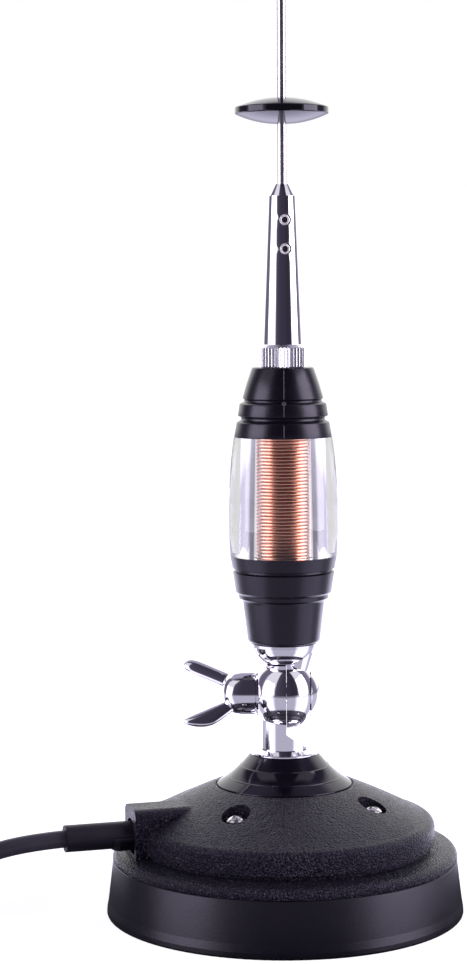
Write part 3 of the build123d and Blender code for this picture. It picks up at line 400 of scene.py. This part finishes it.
def map_range(tree, value, low, high, smooth=False):
    """A value's place between low and high, from 0 to 1 unless its ends are changed."""
    step = tree.nodes.new("ShaderNodeMapRange")
    if smooth:
        step.interpolation_type = "SMOOTHSTEP"
    step.inputs["From Min"].default_value = low
    step.inputs["From Max"].default_value = high
    tree.links.new(value, step.inputs["Value"])
    return step


def mix_colours(tree, share, first, second):
    """Cross from one colour to another by a share."""
    mix = tree.nodes.new("ShaderNodeMix")
    mix.data_type = "RGBA"
    tree.links.new(share, mix.inputs["Factor"])
    feed(tree, first, mix.inputs["A"])
    feed(tree, second, mix.inputs["B"])
    return mix.outputs["Result"]


def mix_shaders(tree, share, first, second):
    """Cross from one shader to another by a share."""
    mix = tree.nodes.new("ShaderNodeMixShader")
    tree.links.new(share, mix.inputs["Fac"])
    tree.links.new(first, mix.inputs[1])
    tree.links.new(second, mix.inputs[2])
    return mix.outputs["Shader"]


def colour_ramp(tree, value, stops):
    """A colour that changes with a value, through stops from 0 to 1."""
    ramp = tree.nodes.new("ShaderNodeValToRGB")
    while len(ramp.color_ramp.elements) < len(stops):
        ramp.color_ramp.elements.new(0.5)
    for element, (place, colour) in zip(ramp.color_ramp.elements, stops):
        element.position = place
        element.color = (*colour, 1)
    tree.links.new(value, ramp.inputs["Fac"])
    return ramp.outputs["Color"]


def object_place(tree):
    """The place on a piece, in its own coordinates."""
    return tree.nodes.new("ShaderNodeTexCoord").outputs["Object"]


def add_noise(tree, place, scale, detail):
    """A cloudy noise over a piece."""
    noise = tree.nodes.new("ShaderNodeTexNoise")
    noise.inputs["Detail"].default_value = detail
    tree.links.new(place, noise.inputs["Vector"])
    feed(tree, scale, noise.inputs["Scale"])
    return noise


# Studio and floor


def level_direction(tree, vector):
    """The X and Y of a direction on the level, one long."""
    flat = tree.nodes.new("ShaderNodeVectorMath")
    flat.operation = "MULTIPLY"
    flat.inputs[1].default_value = (1, 1, 0)
    tree.links.new(vector, flat.inputs[0])
    level = tree.nodes.new("ShaderNodeVectorMath")
    level.operation = "NORMALIZE"
    tree.links.new(flat.outputs["Vector"], level.inputs[0])
    split = tree.nodes.new("ShaderNodeSeparateXYZ")
    tree.links.new(level.outputs["Vector"], split.inputs["Vector"])
    return split


def round_ramp(tree, backwards, stops, tint):
    """A grey that changes with the angle from the front, tinted where it is dark."""
    around = map_range(tree, backwards, -1, 1)
    tinted = []
    for angle, grey in stops:
        pale = min(1.0, grey)
        colour = [grey * (pale + (1 - pale) * part) for part in tint]
        tinted.append(((1 - math.cos(math.radians(angle))) / 2, colour))
    return colour_ramp(tree, around.outputs["Result"], tinted)


def blend_colours(tree, value, low, high, first, second):
    """Cross from one colour to another as a value passes from low to high."""
    step = map_range(tree, value, low, high, smooth=True)
    return mix_colours(tree, step.outputs["Result"], first, second)


def studio_colour(tree):
    """What shiny pieces mirror: dark in front, grey strips behind the lamps, white at the back."""
    direction = tree.nodes.new("ShaderNodeTexCoord").outputs["Generated"]
    level = level_direction(tree, direction)
    left = round_ramp(tree, level.outputs["Y"], left_wall, wall_tint)
    right = round_ramp(tree, level.outputs["Y"], right_wall, wall_tint)
    walls = blend_colours(tree, level.outputs["X"], *wall_seam, left, right)
    height = tree.nodes.new("ShaderNodeSeparateXYZ")
    tree.links.new(direction, height.inputs["Vector"])
    ceiling = blend_colours(tree, height.outputs["Y"], *ceiling_middle, ceiling_colour, back_ceiling_colour)
    rise = link_math(tree, "MULTIPLY_ADD", height.outputs["Y"], ceiling_slope, height.outputs["Z"])
    return blend_colours(tree, rise, *ceiling_edge, walls, ceiling)


def make_world():
    """White behind the object, a studio in its reflections and a weak fill."""
    world = bpy.data.worlds.new("studio")
    bpy.context.scene.world = world
    world.use_nodes = True
    tree = world.node_tree
    tree.nodes.clear()
    outputs = []
    for colour in (studio_colour(tree), (1, 1, 1), fill_light):
        background = tree.nodes.new("ShaderNodeBackground")
        feed(tree, colour, background.inputs["Color"])
        outputs.append(background.outputs["Background"])
    studio, white, fill = outputs
    path = tree.nodes.new("ShaderNodeLightPath")
    mirrored = link_math(tree, "MAXIMUM", path.outputs["Is Glossy Ray"], path.outputs["Is Transmission Ray"])
    around = mix_shaders(tree, mirrored, fill, studio)
    out = tree.nodes.new("ShaderNodeOutputWorld")
    tree.links.new(mix_shaders(tree, path.outputs["Is Camera Ray"], around, white), out.inputs["Surface"])


def grey_ramp(tree, value, reach, stops):
    """A grey that changes with a value, through stops up to its reach."""
    share = link_math(tree, "DIVIDE", value, reach)
    return colour_ramp(tree, share, [(place / reach, (grey, grey, grey)) for place, grey in stops])


def glow_of(tree, strength, colour):
    """A glow of one colour and a strength that may be linked."""
    glow = tree.nodes.new("ShaderNodeEmission")
    feed(tree, colour, glow.inputs["Color"])
    feed(tree, strength, glow.inputs["Strength"])
    return glow.outputs["Emission"]


def make_floor():
    """A white floor, seen pale; in reflections a painted glow, with painted shade close to the base and
    painted light towards the softboxes and the back.
    """
    deselect()
    bpy.ops.mesh.primitive_plane_add(size=floor_size, location=(0, 0, 0))
    floor = bpy.context.object
    floor.name = "floor"
    material = bpy.data.materials.new("white_floor")
    material.use_nodes = True
    tree = material.node_tree
    tree.nodes.clear()
    place = object_place(tree)
    path = tree.nodes.new("ShaderNodeLightPath")
    distance = tree.nodes.new("ShaderNodeVectorMath")
    distance.operation = "LENGTH"
    tree.links.new(place, distance.inputs[0])
    pale = grey_ramp(tree, distance.outputs["Value"], floor_seen_reach, floor_seen)
    # Painted shade in the floor's reflection close to the base, and painted light by angle from the front
    painted_near_shade = grey_ramp(tree, path.outputs["Ray Length"], floor_mirrored_reach, floor_mirrored_painted_shade)
    painted_round_light = round_ramp(tree, level_direction(tree, place).outputs["Y"], floor_painted_light_round, (1, 1, 1))
    mirrored = glow_of(tree, link_math(tree, "MULTIPLY", painted_near_shade, painted_round_light), floor_painted_glow_tint)
    diffuse = tree.nodes.new("ShaderNodeBsdfDiffuse")
    feed(tree, floor_grey, diffuse.inputs["Color"])
    lit = tree.nodes.new("ShaderNodeAddShader")
    tree.links.new(diffuse.outputs["BSDF"], lit.inputs[0])
    tree.links.new(glow_of(tree, pale, (1, 1, 1)), lit.inputs[1])
    seen = mix_shaders(tree, path.outputs["Is Camera Ray"], diffuse.outputs["BSDF"], lit.outputs["Shader"])
    both = mix_shaders(tree, path.outputs["Is Glossy Ray"], seen, mirrored)
    # Plain white through the clear barrel, but not in what its surfaces mirror
    unmirrored = link_math(tree, "LESS_THAN", path.outputs["Glossy Depth"], 0.5)
    straight = link_math(tree, "MULTIPLY", path.outputs["Is Transmission Ray"], unmirrored)
    white = glow_of(tree, floor_through_barrel, (1, 1, 1))
    out = tree.nodes.new("ShaderNodeOutputMaterial")
    tree.links.new(mix_shaders(tree, straight, both, white), out.inputs["Surface"])
    dress(floor, material)


# Shared effects


def new_group(name, inputs, output):
    """An empty node group whose inputs and one output are numbers."""
    group = bpy.data.node_groups.new(name, "ShaderNodeTree")
    for label, value in inputs.items():
        socket = group.interface.new_socket(label, in_out="INPUT", socket_type="NodeSocketFloat")
        socket.default_value = value
    group.interface.new_socket(output, in_out="OUTPUT", socket_type="NodeSocketFloat")
    start = group.nodes.new("NodeGroupInput")
    end = group.nodes.new("NodeGroupOutput")
    return group, start, end


def make_drift_group():
    """A slow, cloudy change between a low and a high value."""
    group, start, end = new_group("finish_drift", {"Scale": 60, "Low": 0.3, "High": 0.4}, "Value")
    noise = add_noise(group, object_place(group), start.outputs["Scale"], detail=4)
    spread = map_range(group, noise.outputs["Fac"], *cloud_range)
    group.links.new(start.outputs["Low"], spread.inputs["To Min"])
    group.links.new(start.outputs["High"], spread.inputs["To Max"])
    group.links.new(spread.outputs["Result"], end.inputs["Value"])
    return group


def make_ring_group():
    """Fine turning marks that run round the upright axis."""
    group, start, end = new_group("turning_marks", {"Scale": 900, "Strength": 1}, "Height")
    squash = group.nodes.new("ShaderNodeMapping")
    squash.inputs["Scale"].default_value = mark_stretch
    group.links.new(object_place(group), squash.inputs["Vector"])
    noise = add_noise(group, squash.outputs["Vector"], start.outputs["Scale"], detail=3)
    height = link_math(group, "MULTIPLY", noise.outputs["Fac"], start.outputs["Strength"])
    group.links.new(height, end.inputs["Height"])
    return group


def make_grain_group():
    """Leather grain of a moulded cover: pebbles with creases between them."""
    group, start, end = new_group("leather_grain", {"Scale": 620, "Crease": 0.55, "Fine": 0.35}, "Height")
    place = object_place(group)
    warp = add_noise(group, place, pebble_warp_scale, detail=2)
    bend = group.nodes.new("ShaderNodeVectorMath")
    bend.operation = "MULTIPLY_ADD"
    bend.inputs[1].default_value = pebble_warp
    group.links.new(warp.outputs["Color"], bend.inputs[0])
    group.links.new(place, bend.inputs[2])
    cells = group.nodes.new("ShaderNodeTexVoronoi")
    cells.feature = "DISTANCE_TO_EDGE"
    group.links.new(bend.outputs["Vector"], cells.inputs["Vector"])
    group.links.new(start.outputs["Scale"], cells.inputs["Scale"])
    crease = map_range(group, cells.outputs["Distance"], 0, crease_width, smooth=True)
    group.links.new(start.outputs["Crease"], crease.inputs["To Max"])
    fine = add_noise(group, place, fine_grain_scale, detail=3)
    pebbles = crease.outputs["Result"]
    height = link_math(group, "MULTIPLY_ADD", fine.outputs["Fac"], start.outputs["Fine"], pebbles)
    group.links.new(height, end.inputs["Height"])
    return group


drift_group = make_drift_group()
ring_group = make_ring_group()
grain_group = make_grain_group()


def new_finish(name, colour, metallic=0.0):
    """A material with its shader."""
    material = bpy.data.materials.new(name)
    material.use_nodes = True
    shader = material.node_tree.nodes["Principled BSDF"]
    shader.inputs["Base Color"].default_value = (*colour, 1)
    shader.inputs["Metallic"].default_value = metallic
    return material, shader


def place_group(material, group, **values):
    """Put a group in a material with its own values."""
    node = material.node_tree.nodes.new("ShaderNodeGroup")
    node.node_tree = group
    for label, value in values.items():
        node.inputs[label].default_value = value
    return node


def drift_roughness(material, shader, scale, low, high):
    """Let the roughness change slowly over the surface."""
    drift = place_group(material, drift_group, Scale=scale, Low=low, High=high)
    material.node_tree.links.new(drift.outputs["Value"], shader.inputs["Roughness"])


def drift_colour(material, shader, scale, dark, light):
    """Let the colour change slowly over the surface."""
    drift = place_group(material, drift_group, Scale=scale, Low=0, High=1)
    colour = mix_colours(material.node_tree, drift.outputs["Value"], dark, light)
    material.node_tree.links.new(colour, shader.inputs["Base Color"])


def bump_from(material, shader, height, distance):
    """Feed a height through a bump into the shader."""
    bump = material.node_tree.nodes.new("ShaderNodeBump")
    bump.inputs["Strength"].default_value = 1.0
    bump.inputs["Distance"].default_value = distance
    material.node_tree.links.new(height, bump.inputs["Height"])
    material.node_tree.links.new(bump.outputs["Normal"], shader.inputs["Normal"])


def add_fine_bump(material, shader, scale, distance):
    """A fine, even unevenness."""
    tree = material.node_tree
    noise = add_noise(tree, object_place(tree), scale, detail=3)
    bump_from(material, shader, noise.outputs["Fac"], distance)


# Finishes


def plated(name, colour, low, high, marks):
    """Polished plating, with faint turning marks if it has any."""
    material, shader = new_finish(name, colour, metallic=1.0)
    darker = [0.95 * value for value in colour]
    drift_roughness(material, shader, scale=90, low=low, high=high)
    drift_colour(material, shader, scale=45, dark=darker, light=colour)
    if marks:
        rings = place_group(material, ring_group, Scale=1400, Strength=1)
        bump_from(material, shader, rings.outputs["Height"], marks)
    return material


def moulded(name, dark, light, low, high, grain, grain_scale):
    """Plastic or rubber, with a fine moulded surface if it has any."""
    material, shader = new_finish(name, dark)
    feed(material.node_tree, plastic_shine, shader.inputs["Specular Tint"])
    drift_roughness(material, shader, scale=70, low=low, high=high)
    drift_colour(material, shader, scale=55, dark=dark, light=light)
    if grain:
        add_fine_bump(material, shader, grain_scale, grain)
    return material


def make_cover_finish():
    """Leather-grained cover."""
    material, shader = new_finish("grained_abs", cover_light)
    shader.inputs["Specular IOR Level"].default_value = cover_shine
    feed(material.node_tree, cover_shine_tint, shader.inputs["Specular Tint"])
    drift_roughness(material, shader, scale=80, low=0.26, high=0.36)
    drift_colour(material, shader, scale=300, dark=cover_dark, light=cover_light)
    grain = place_group(material, grain_group, Scale=860, Crease=0.8, Fine=0.36)
    bump_from(material, shader, grain.outputs["Height"], cover_grain_depth)
    return material


def make_socket_shade_finish():
    """Shadowed sockets and flanks of the set screws, in a dark grey that is painted shade."""
    material, shader = new_finish("screw_sockets_painted_shade", (0.2, 0.19, 0.2), metallic=0.6)
    drift_roughness(material, shader, scale=90, low=0.4, high=0.5)
    return material


def make_rim_finish():
    """Bright, turned rims of the set screws."""
    material, shader = new_finish("screw_rims", (0.95, 0.93, 0.92), metallic=0.35)
    drift_roughness(material, shader, scale=90, low=0.25, high=0.35)
    return material


def new_clear(name):
    """Clear, thick plastic."""
    material, shader = new_finish(name, clear_colour)
    shader.inputs["Transmission Weight"].default_value = 1.0
    shader.inputs["IOR"].default_value = clear_ior
    return material, shader


def make_clear_finish():
    """The barrel's polished outside."""
    material, shader = new_clear("clear_plastic")
    drift_roughness(material, shader, scale=40, low=0.0, high=0.02)
    return material


def make_bore_finish():
    """The barrel's bore, with painted shade in its colour and its reflections where it is seen edge on."""
    material, shader = new_clear("clear_bore")
    shader.inputs["Roughness"].default_value = 0.0
    tree = material.node_tree
    edge = tree.nodes.new("ShaderNodeLayerWeight")
    fade = map_range(tree, edge.outputs["Facing"], *bore_fade, smooth=True)
    for label in ("Base Color", "Specular Tint"):
        colour = mix_colours(tree, fade.outputs["Result"], bore_pale, bore_painted_shade)
        tree.links.new(colour, shader.inputs[label])
    return material


def make_finishes():
    """Every material slot's finish, and that of the parting line, whose lighter grey is a painted highlight.
    """
    finishes = {slot: plated(slot, *values) for slot, values in plated_finishes.items()}
    finishes.update({slot: moulded(slot, *values) for slot, values in moulded_finishes.items()})
    boot_shader = finishes["boot_rubber"].node_tree.nodes["Principled BSDF"]
    boot_shader.inputs["Specular IOR Level"].default_value = boot_shine
    finishes["grained_abs"] = make_cover_finish()
    finishes["clear_plastic"] = make_clear_finish()
    return finishes


# Pieces


def draw_disc(name, radius, sides, place, upright=False, filled=True):
    """A disc or a bare ring to draw a piece out of, in metres, with its place in its mesh."""
    deselect()
    bpy.ops.mesh.primitive_circle_add(
        vertices=sides,
        radius=radius,
        fill_type="NGON" if filled else "NOTHING",
        location=place,
        rotation=(math.pi / 2 if upright else 0, 0, 0),
    )
    disc = bpy.context.object
    disc.name = name
    bpy.ops.object.transform_apply(location=True, rotation=True, scale=True)
    return disc


def edit_all():
    """Go into edit mode with everything selected."""
    bpy.ops.object.mode_set(mode="EDIT")
    bpy.ops.mesh.select_all(action="SELECT")


def extrude_by(shift):
    """Extrude what is selected, in metres."""
    bpy.ops.mesh.extrude_region_move(TRANSFORM_OT_translate={"value": shift})


def close_shell():
    """Point every face outwards and leave edit mode."""
    bpy.ops.mesh.select_all(action="SELECT")
    bpy.ops.mesh.normals_make_consistent(inside=False)
    bpy.ops.object.mode_set(mode="OBJECT")


def smooth_below(angle):
    """Smooth the active piece where its faces meet at less than an angle."""
    bpy.ops.object.shade_smooth_by_angle(angle=math.radians(angle))


def raise_outline(outline, height):
    """An outline of radius and height, moved up."""
    return [(radius, height + rise) for radius, rise in outline]


def coil_points():
    """The put-away turns as one line: out to in, up a layer, in to out, and so on."""
    points = []
    total = coil_layers * (layer_turns + climb_turns) - climb_turns
    shrink = (coil_outer_turn - coil_inner_turn) / layer_turns
    steps = round(total * turn_points)
    for step in range(steps):
        turns = step * total / steps
        layer = int(turns / (layer_turns + climb_turns))
        within = turns - layer * (layer_turns + climb_turns)
        travel = min(within, layer_turns) * shrink
        inwards = layer % 2 == 0
        radius = coil_outer_turn - travel if inwards else coil_inner_turn + travel
        climb = max(0.0, within - layer_turns) / climb_turns
        z = coil_lift + cable_r / mm + (layer + climb) * layer_rise
        angle = math.radians(-90) - 2 * math.pi * turns
        x = coil_centre[0] + radius * math.cos(angle)
        y = coil_centre[1] + radius * math.sin(angle)
        points.append((x, y, z))
    return points


def make_cable(finish):
    """The whole free cable on one smooth curve."""
    points = [cable_exit] + cable_route + coil_points() + tail_route
    data = bpy.data.curves.new("free_cable", "CURVE")
    data.dimensions = "3D"
    spline = data.splines.new("NURBS")
    spline.points.add(len(points) - 1)
    for place, point in zip(spline.points, points):
        place.co = (*to_metres(point), 1)
    spline.order_u = 3
    spline.use_endpoint_u = True
    data.resolution_u = 4
    data.bevel_depth = cable_r
    data.bevel_resolution = 4
    data.use_fill_caps = True
    cable = bpy.data.objects.new("free_cable", data)
    bpy.context.scene.collection.objects.link(cable)
    dress(cable, finish)
    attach(cable, "base")
    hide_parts("cable", "cable_coil", "cable_tail")
    return cable


def make_winding(finish):
    """Close-wound bare wire as a true helix."""
    low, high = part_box("coil_winding")
    length = high.z - low.z - 2 * wire_r
    turns = length / wire_pitch
    place = (high.x - wire_r, 0, low.z + wire_r)
    wire = draw_disc("wound_wire", wire_r, wire_sides, place, upright=True)
    bpy.ops.object.modifier_add(type="SCREW")
    screw = wire.modifiers["Screw"]
    screw.axis = "Z"
    screw.angle = 2 * math.pi * turns
    screw.screw_offset = length
    screw.steps = round(wire_steps * turns)
    screw.render_steps = screw.steps
    screw.use_merge_vertices = False
    bpy.ops.object.modifier_apply(modifier="Screw")
    bpy.ops.object.shade_smooth()
    dress(wire, finish)
    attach(wire, "radiator")
    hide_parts("coil_winding")


def step_out(radius, height, next_radius, next_height):
    """Extrude what is selected to the next radius and height of a turned piece, in millimetres."""
    extrude_by((0, 0, (next_height - height) * mm))
    grow = next_radius / radius
    bpy.ops.transform.resize(value=(grow, grow, 1), center_override=(0, 0, next_height * mm))


def turn_piece(name, profile, sides, bored):
    """A piece turned about the upright axis: a ring with a bore, or closed at both ends."""
    radius, height = profile[0]
    piece = draw_disc(name, radius * mm, sides, (0, 0, height * mm), filled=not bored)
    edit_all()
    for next_radius, next_height in profile[1:]:
        step_out(radius, height, next_radius, next_height)
        radius, height = next_radius, next_height
    if bored:
        bpy.ops.mesh.select_all(action="DESELECT")
        bpy.ops.mesh.select_mode(type="EDGE")
        bpy.ops.mesh.select_non_manifold()
        bpy.ops.mesh.bridge_edge_loops()
    close_shell()
    return piece


def soften_edges(piece, width, angle):
    """Round a piece's hard edges a little, by a width in millimetres, and smooth the rest."""
    make_active(piece)
    bpy.ops.object.modifier_add(type="BEVEL")
    bevel = piece.modifiers["Bevel"]
    bevel.width = width * mm
    bevel.segments = 2
    bevel.limit_method = "ANGLE"
    bevel.angle_limit = math.radians(angle)
    bpy.ops.object.modifier_apply(modifier="Bevel")
    smooth_below(angle)


def stand_for(piece, body, slot, finish, *replaced):
    """Dress a finished piece, let it ride on its body and take its nodes' place."""
    dress(piece, finish)
    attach(piece, body)
    if replaced:
        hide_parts(*replaced)


def make_barrel(finish):
    """The clear housing: thick plastic, bellied outside and bored close round the winding."""
    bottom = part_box("lower_cap")[1].z / mm + barrel_gap
    outline = barrel_foot + barrel_outside
    outline.append((barrel_bore_r, outline[-1][1]))
    barrel = turn_piece("clear_barrel", raise_outline(outline, bottom), sides=128, bored=True)
    make_active(barrel)
    smooth_below(angle=24)
    stand_for(barrel, "radiator", "clear_plastic", finish, "clear_shell")
    barrel.data.materials.append(make_bore_finish())
    for face in barrel.data.polygons:
        inside = math.hypot(face.center.x, face.center.y) < bore_limit_r * mm
        upright = abs(face.normal.z) < 0.5
        if inside and upright:
            face.material_index = 1


def make_mould_line(number, run, bottom, finish):
    """A thin raised line down the front of the cap, where its mould parted, painted a lighter grey as a
    highlight.
    """
    radius, rise = run[0]
    place = to_metres((mould_line_x, mould_line_sink - radius, bottom + rise))
    line = draw_disc("mould_line_" + str(number), mould_line_r * mm, sides=8, place=place)
    edit_all()
    for next_radius, next_rise in run[1:]:
        extrude_by((0, (radius - next_radius) * mm, (next_rise - rise) * mm))
        radius, rise = next_radius, next_rise
    close_shell()
    smooth_below(angle=50)
    stand_for(line, "radiator", "satin_black", finish)


def make_mould_pip(bottom, finish):
    """A small round pip on the front of the cap, on its parting line, painted the same lighter grey as a
    highlight.
    """
    place = to_metres((mould_line_x, pip_front, bottom + pip_rise))
    pip = draw_disc("mould_pip", pip_r * mm, sides=24, place=place, upright=True)
    edit_all()
    extrude_by((0, pip_length * mm, 0))
    close_shell()
    soften_edges(pip, width=0.3, angle=40)
    stand_for(pip, "radiator", "satin_black", finish)


def make_upper_cap(finish, line_finish):
    """The upper moulding: two ringed bands under a straight cone, with the mould's parting line and pip."""
    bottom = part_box("upper_cap")[0].z / mm
    profile = raise_outline(cap_outside + cap_inside, bottom)
    cap = turn_piece("ringed_cap", profile, sides=128, bored=True)
    soften_edges(cap, width=0.16, angle=24)
    stand_for(cap, "radiator", "satin_black", finish, "upper_cap")
    for number, run in enumerate(mould_runs):
        make_mould_line(number, run, bottom, line_finish)
    make_mould_pip(bottom, line_finish)


def make_wing(name, outwards, slant, stations):
    """One wing, drawn out of the hub through slanted oval sections, with a rounded end."""
    along = Vector((-1, 0, 0))
    forward = (slant[1], -slant[0])
    sections = []
    for reach, radius, half_width, half_thickness in stations:
        across = reach * slant[0] + radius * slant[1]
        ahead = reach * forward[0] + radius * forward[1]
        sections.append(to_metres((across, ahead, half_width, half_thickness)))
    across, ahead, width, thickness = sections[0]
    wing = draw_disc(name, width, sides=12, place=(across, 0, ahead))
    edit_all()
    bpy.ops.transform.resize(value=(1, thickness / width, 1), center_override=(across, 0, ahead))
    for next_across, next_ahead, next_width, next_thickness in sections[1:]:
        extrude_by((next_across - across, 0, next_ahead - ahead))
        grow = (next_width / width, next_thickness / thickness, 1)
        bpy.ops.transform.resize(value=grow, center_override=(next_across, 0, next_ahead))
        across, ahead, width, thickness = next_across, next_ahead, next_width, next_thickness
    close_shell()
    side = slant[0] * along + slant[1] * outwards
    front = forward[0] * along + forward[1] * outwards
    place_along(wing, side, front, nut_seat())
    bpy.ops.object.modifier_add(type="SUBSURF")
    smooth = wing.modifiers["Subdivision"]
    smooth.levels = 2
    smooth.render_levels = 2
    bpy.ops.object.modifier_apply(modifier="Subdivision")
    bpy.ops.object.shade_smooth()
    return wing


def nut_seat():
    """The point on the knuckle's axis where the wing nut bears on its washer."""
    low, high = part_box("clamp_washer")
    return Vector((low.x - nut_gap * mm, 0, (low.z + high.z) / 2))


def place_along(piece, side, front, origin):
    """Turn a piece so that its X and Z point along two directions, and move it to its place."""
    deep = front.cross(side)
    turn = Matrix((side, deep, front)).transposed()
    piece.matrix_world = Matrix.Translation(origin) @ turn.to_4x4()
    make_active(piece)
    bpy.ops.object.transform_apply(location=True, rotation=True, scale=True)


def make_wing_nut(finish):
    """The wing nut: a domed hub and two slanted, rounded wings."""
    lean = math.radians(wing_angle)
    outwards = Vector((0, math.sin(lean), math.cos(lean)))
    hub = turn_piece("wing_nut_hub", hub_outline, sides=64, bored=False)
    place_along(hub, outwards, Vector((-1, 0, 0)), nut_seat())
    smooth_below(angle=40)
    upper = make_wing("upper_wing", outwards, upper_slant, upper_stations)
    lower = make_wing("lower_wing", -outwards, lower_slant, lower_stations)
    for wing in (upper, lower):
        stand_for(wing, "wing", "chrome", finish)
    stand_for(hub, "wing", "chrome", finish, "wing_nut")


def make_cone(finish):
    """The glossy cone under the knuckle: three straight tiers with a narrow ledge between them."""
    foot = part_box("cone_collar")[0].z / mm
    cone = turn_piece("stepped_cone", raise_outline(cone_outline, foot), sides=128, bored=True)
    soften_edges(cone, width=0.09, angle=24)
    stand_for(cone, "base", "gloss_black", finish, "cone_collar")


def make_screw_rims(finish):
    """A bright, rounded rim on the outer end of each set screw, round its socket."""
    angle = math.radians(set_screw_angle)
    outwards = Vector((math.cos(angle), math.sin(angle), 0))
    upright = Vector((0, 0, 1))
    for number, (height, end) in enumerate(set_screw_ends):
        rim = turn_piece("screw_rim_" + str(number), rim_outline, sides=48, bored=True)
        place_along(rim, upright, outwards, outwards * (end * mm) + Vector((0, 0, height * mm)))
        smooth_below(angle=50)
        stand_for(rim, "radiator", "screw_steel", finish)


def make_holder_finish():
    """Mirror plating above, and the duller knurl at the foot."""
    material, shader = new_finish("holder_chrome", chrome_colour, metallic=1.0)
    tree = material.node_tree
    split = tree.nodes.new("ShaderNodeSeparateXYZ")
    tree.links.new(object_place(tree), split.inputs["Vector"])
    knurl_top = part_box("whip_holder")[0].z + knurl_height * mm
    dull = map_range(tree, split.outputs["Z"], knurl_top, knurl_top + knurl_fade * mm)
    dull.inputs["To Min"].default_value = knurl_roughness
    dull.inputs["To Max"].default_value = polish_roughness
    tree.links.new(dull.outputs["Result"], shader.inputs["Roughness"])
    return material


def dress_nodes(finishes):
    """Put each CAD node's slot finish on it."""
    for part in frame["record"]["subparts"]:
        dress(nodes[part["node"]], finishes[part["material_slot"]])
    dress(nodes["set_screws"], make_socket_shade_finish())
    dress(nodes["whip_holder"], make_holder_finish())


bpy.context.scene.view_settings.view_transform = "Standard"
make_camera()
make_lights()
make_world()
make_floor()
finishes = make_finishes()
dress_nodes(finishes)
free_cable = make_cable(finishes["cable_jacket"])
make_winding(finishes["copper"])
make_barrel(finishes["clear_plastic"])
make_upper_cap(finishes["satin_black"], finishes["parting_line_highlight"])
make_wing_nut(finishes["chrome"])
make_cone(finishes["gloss_black"])
make_screw_rims(make_rim_finish())
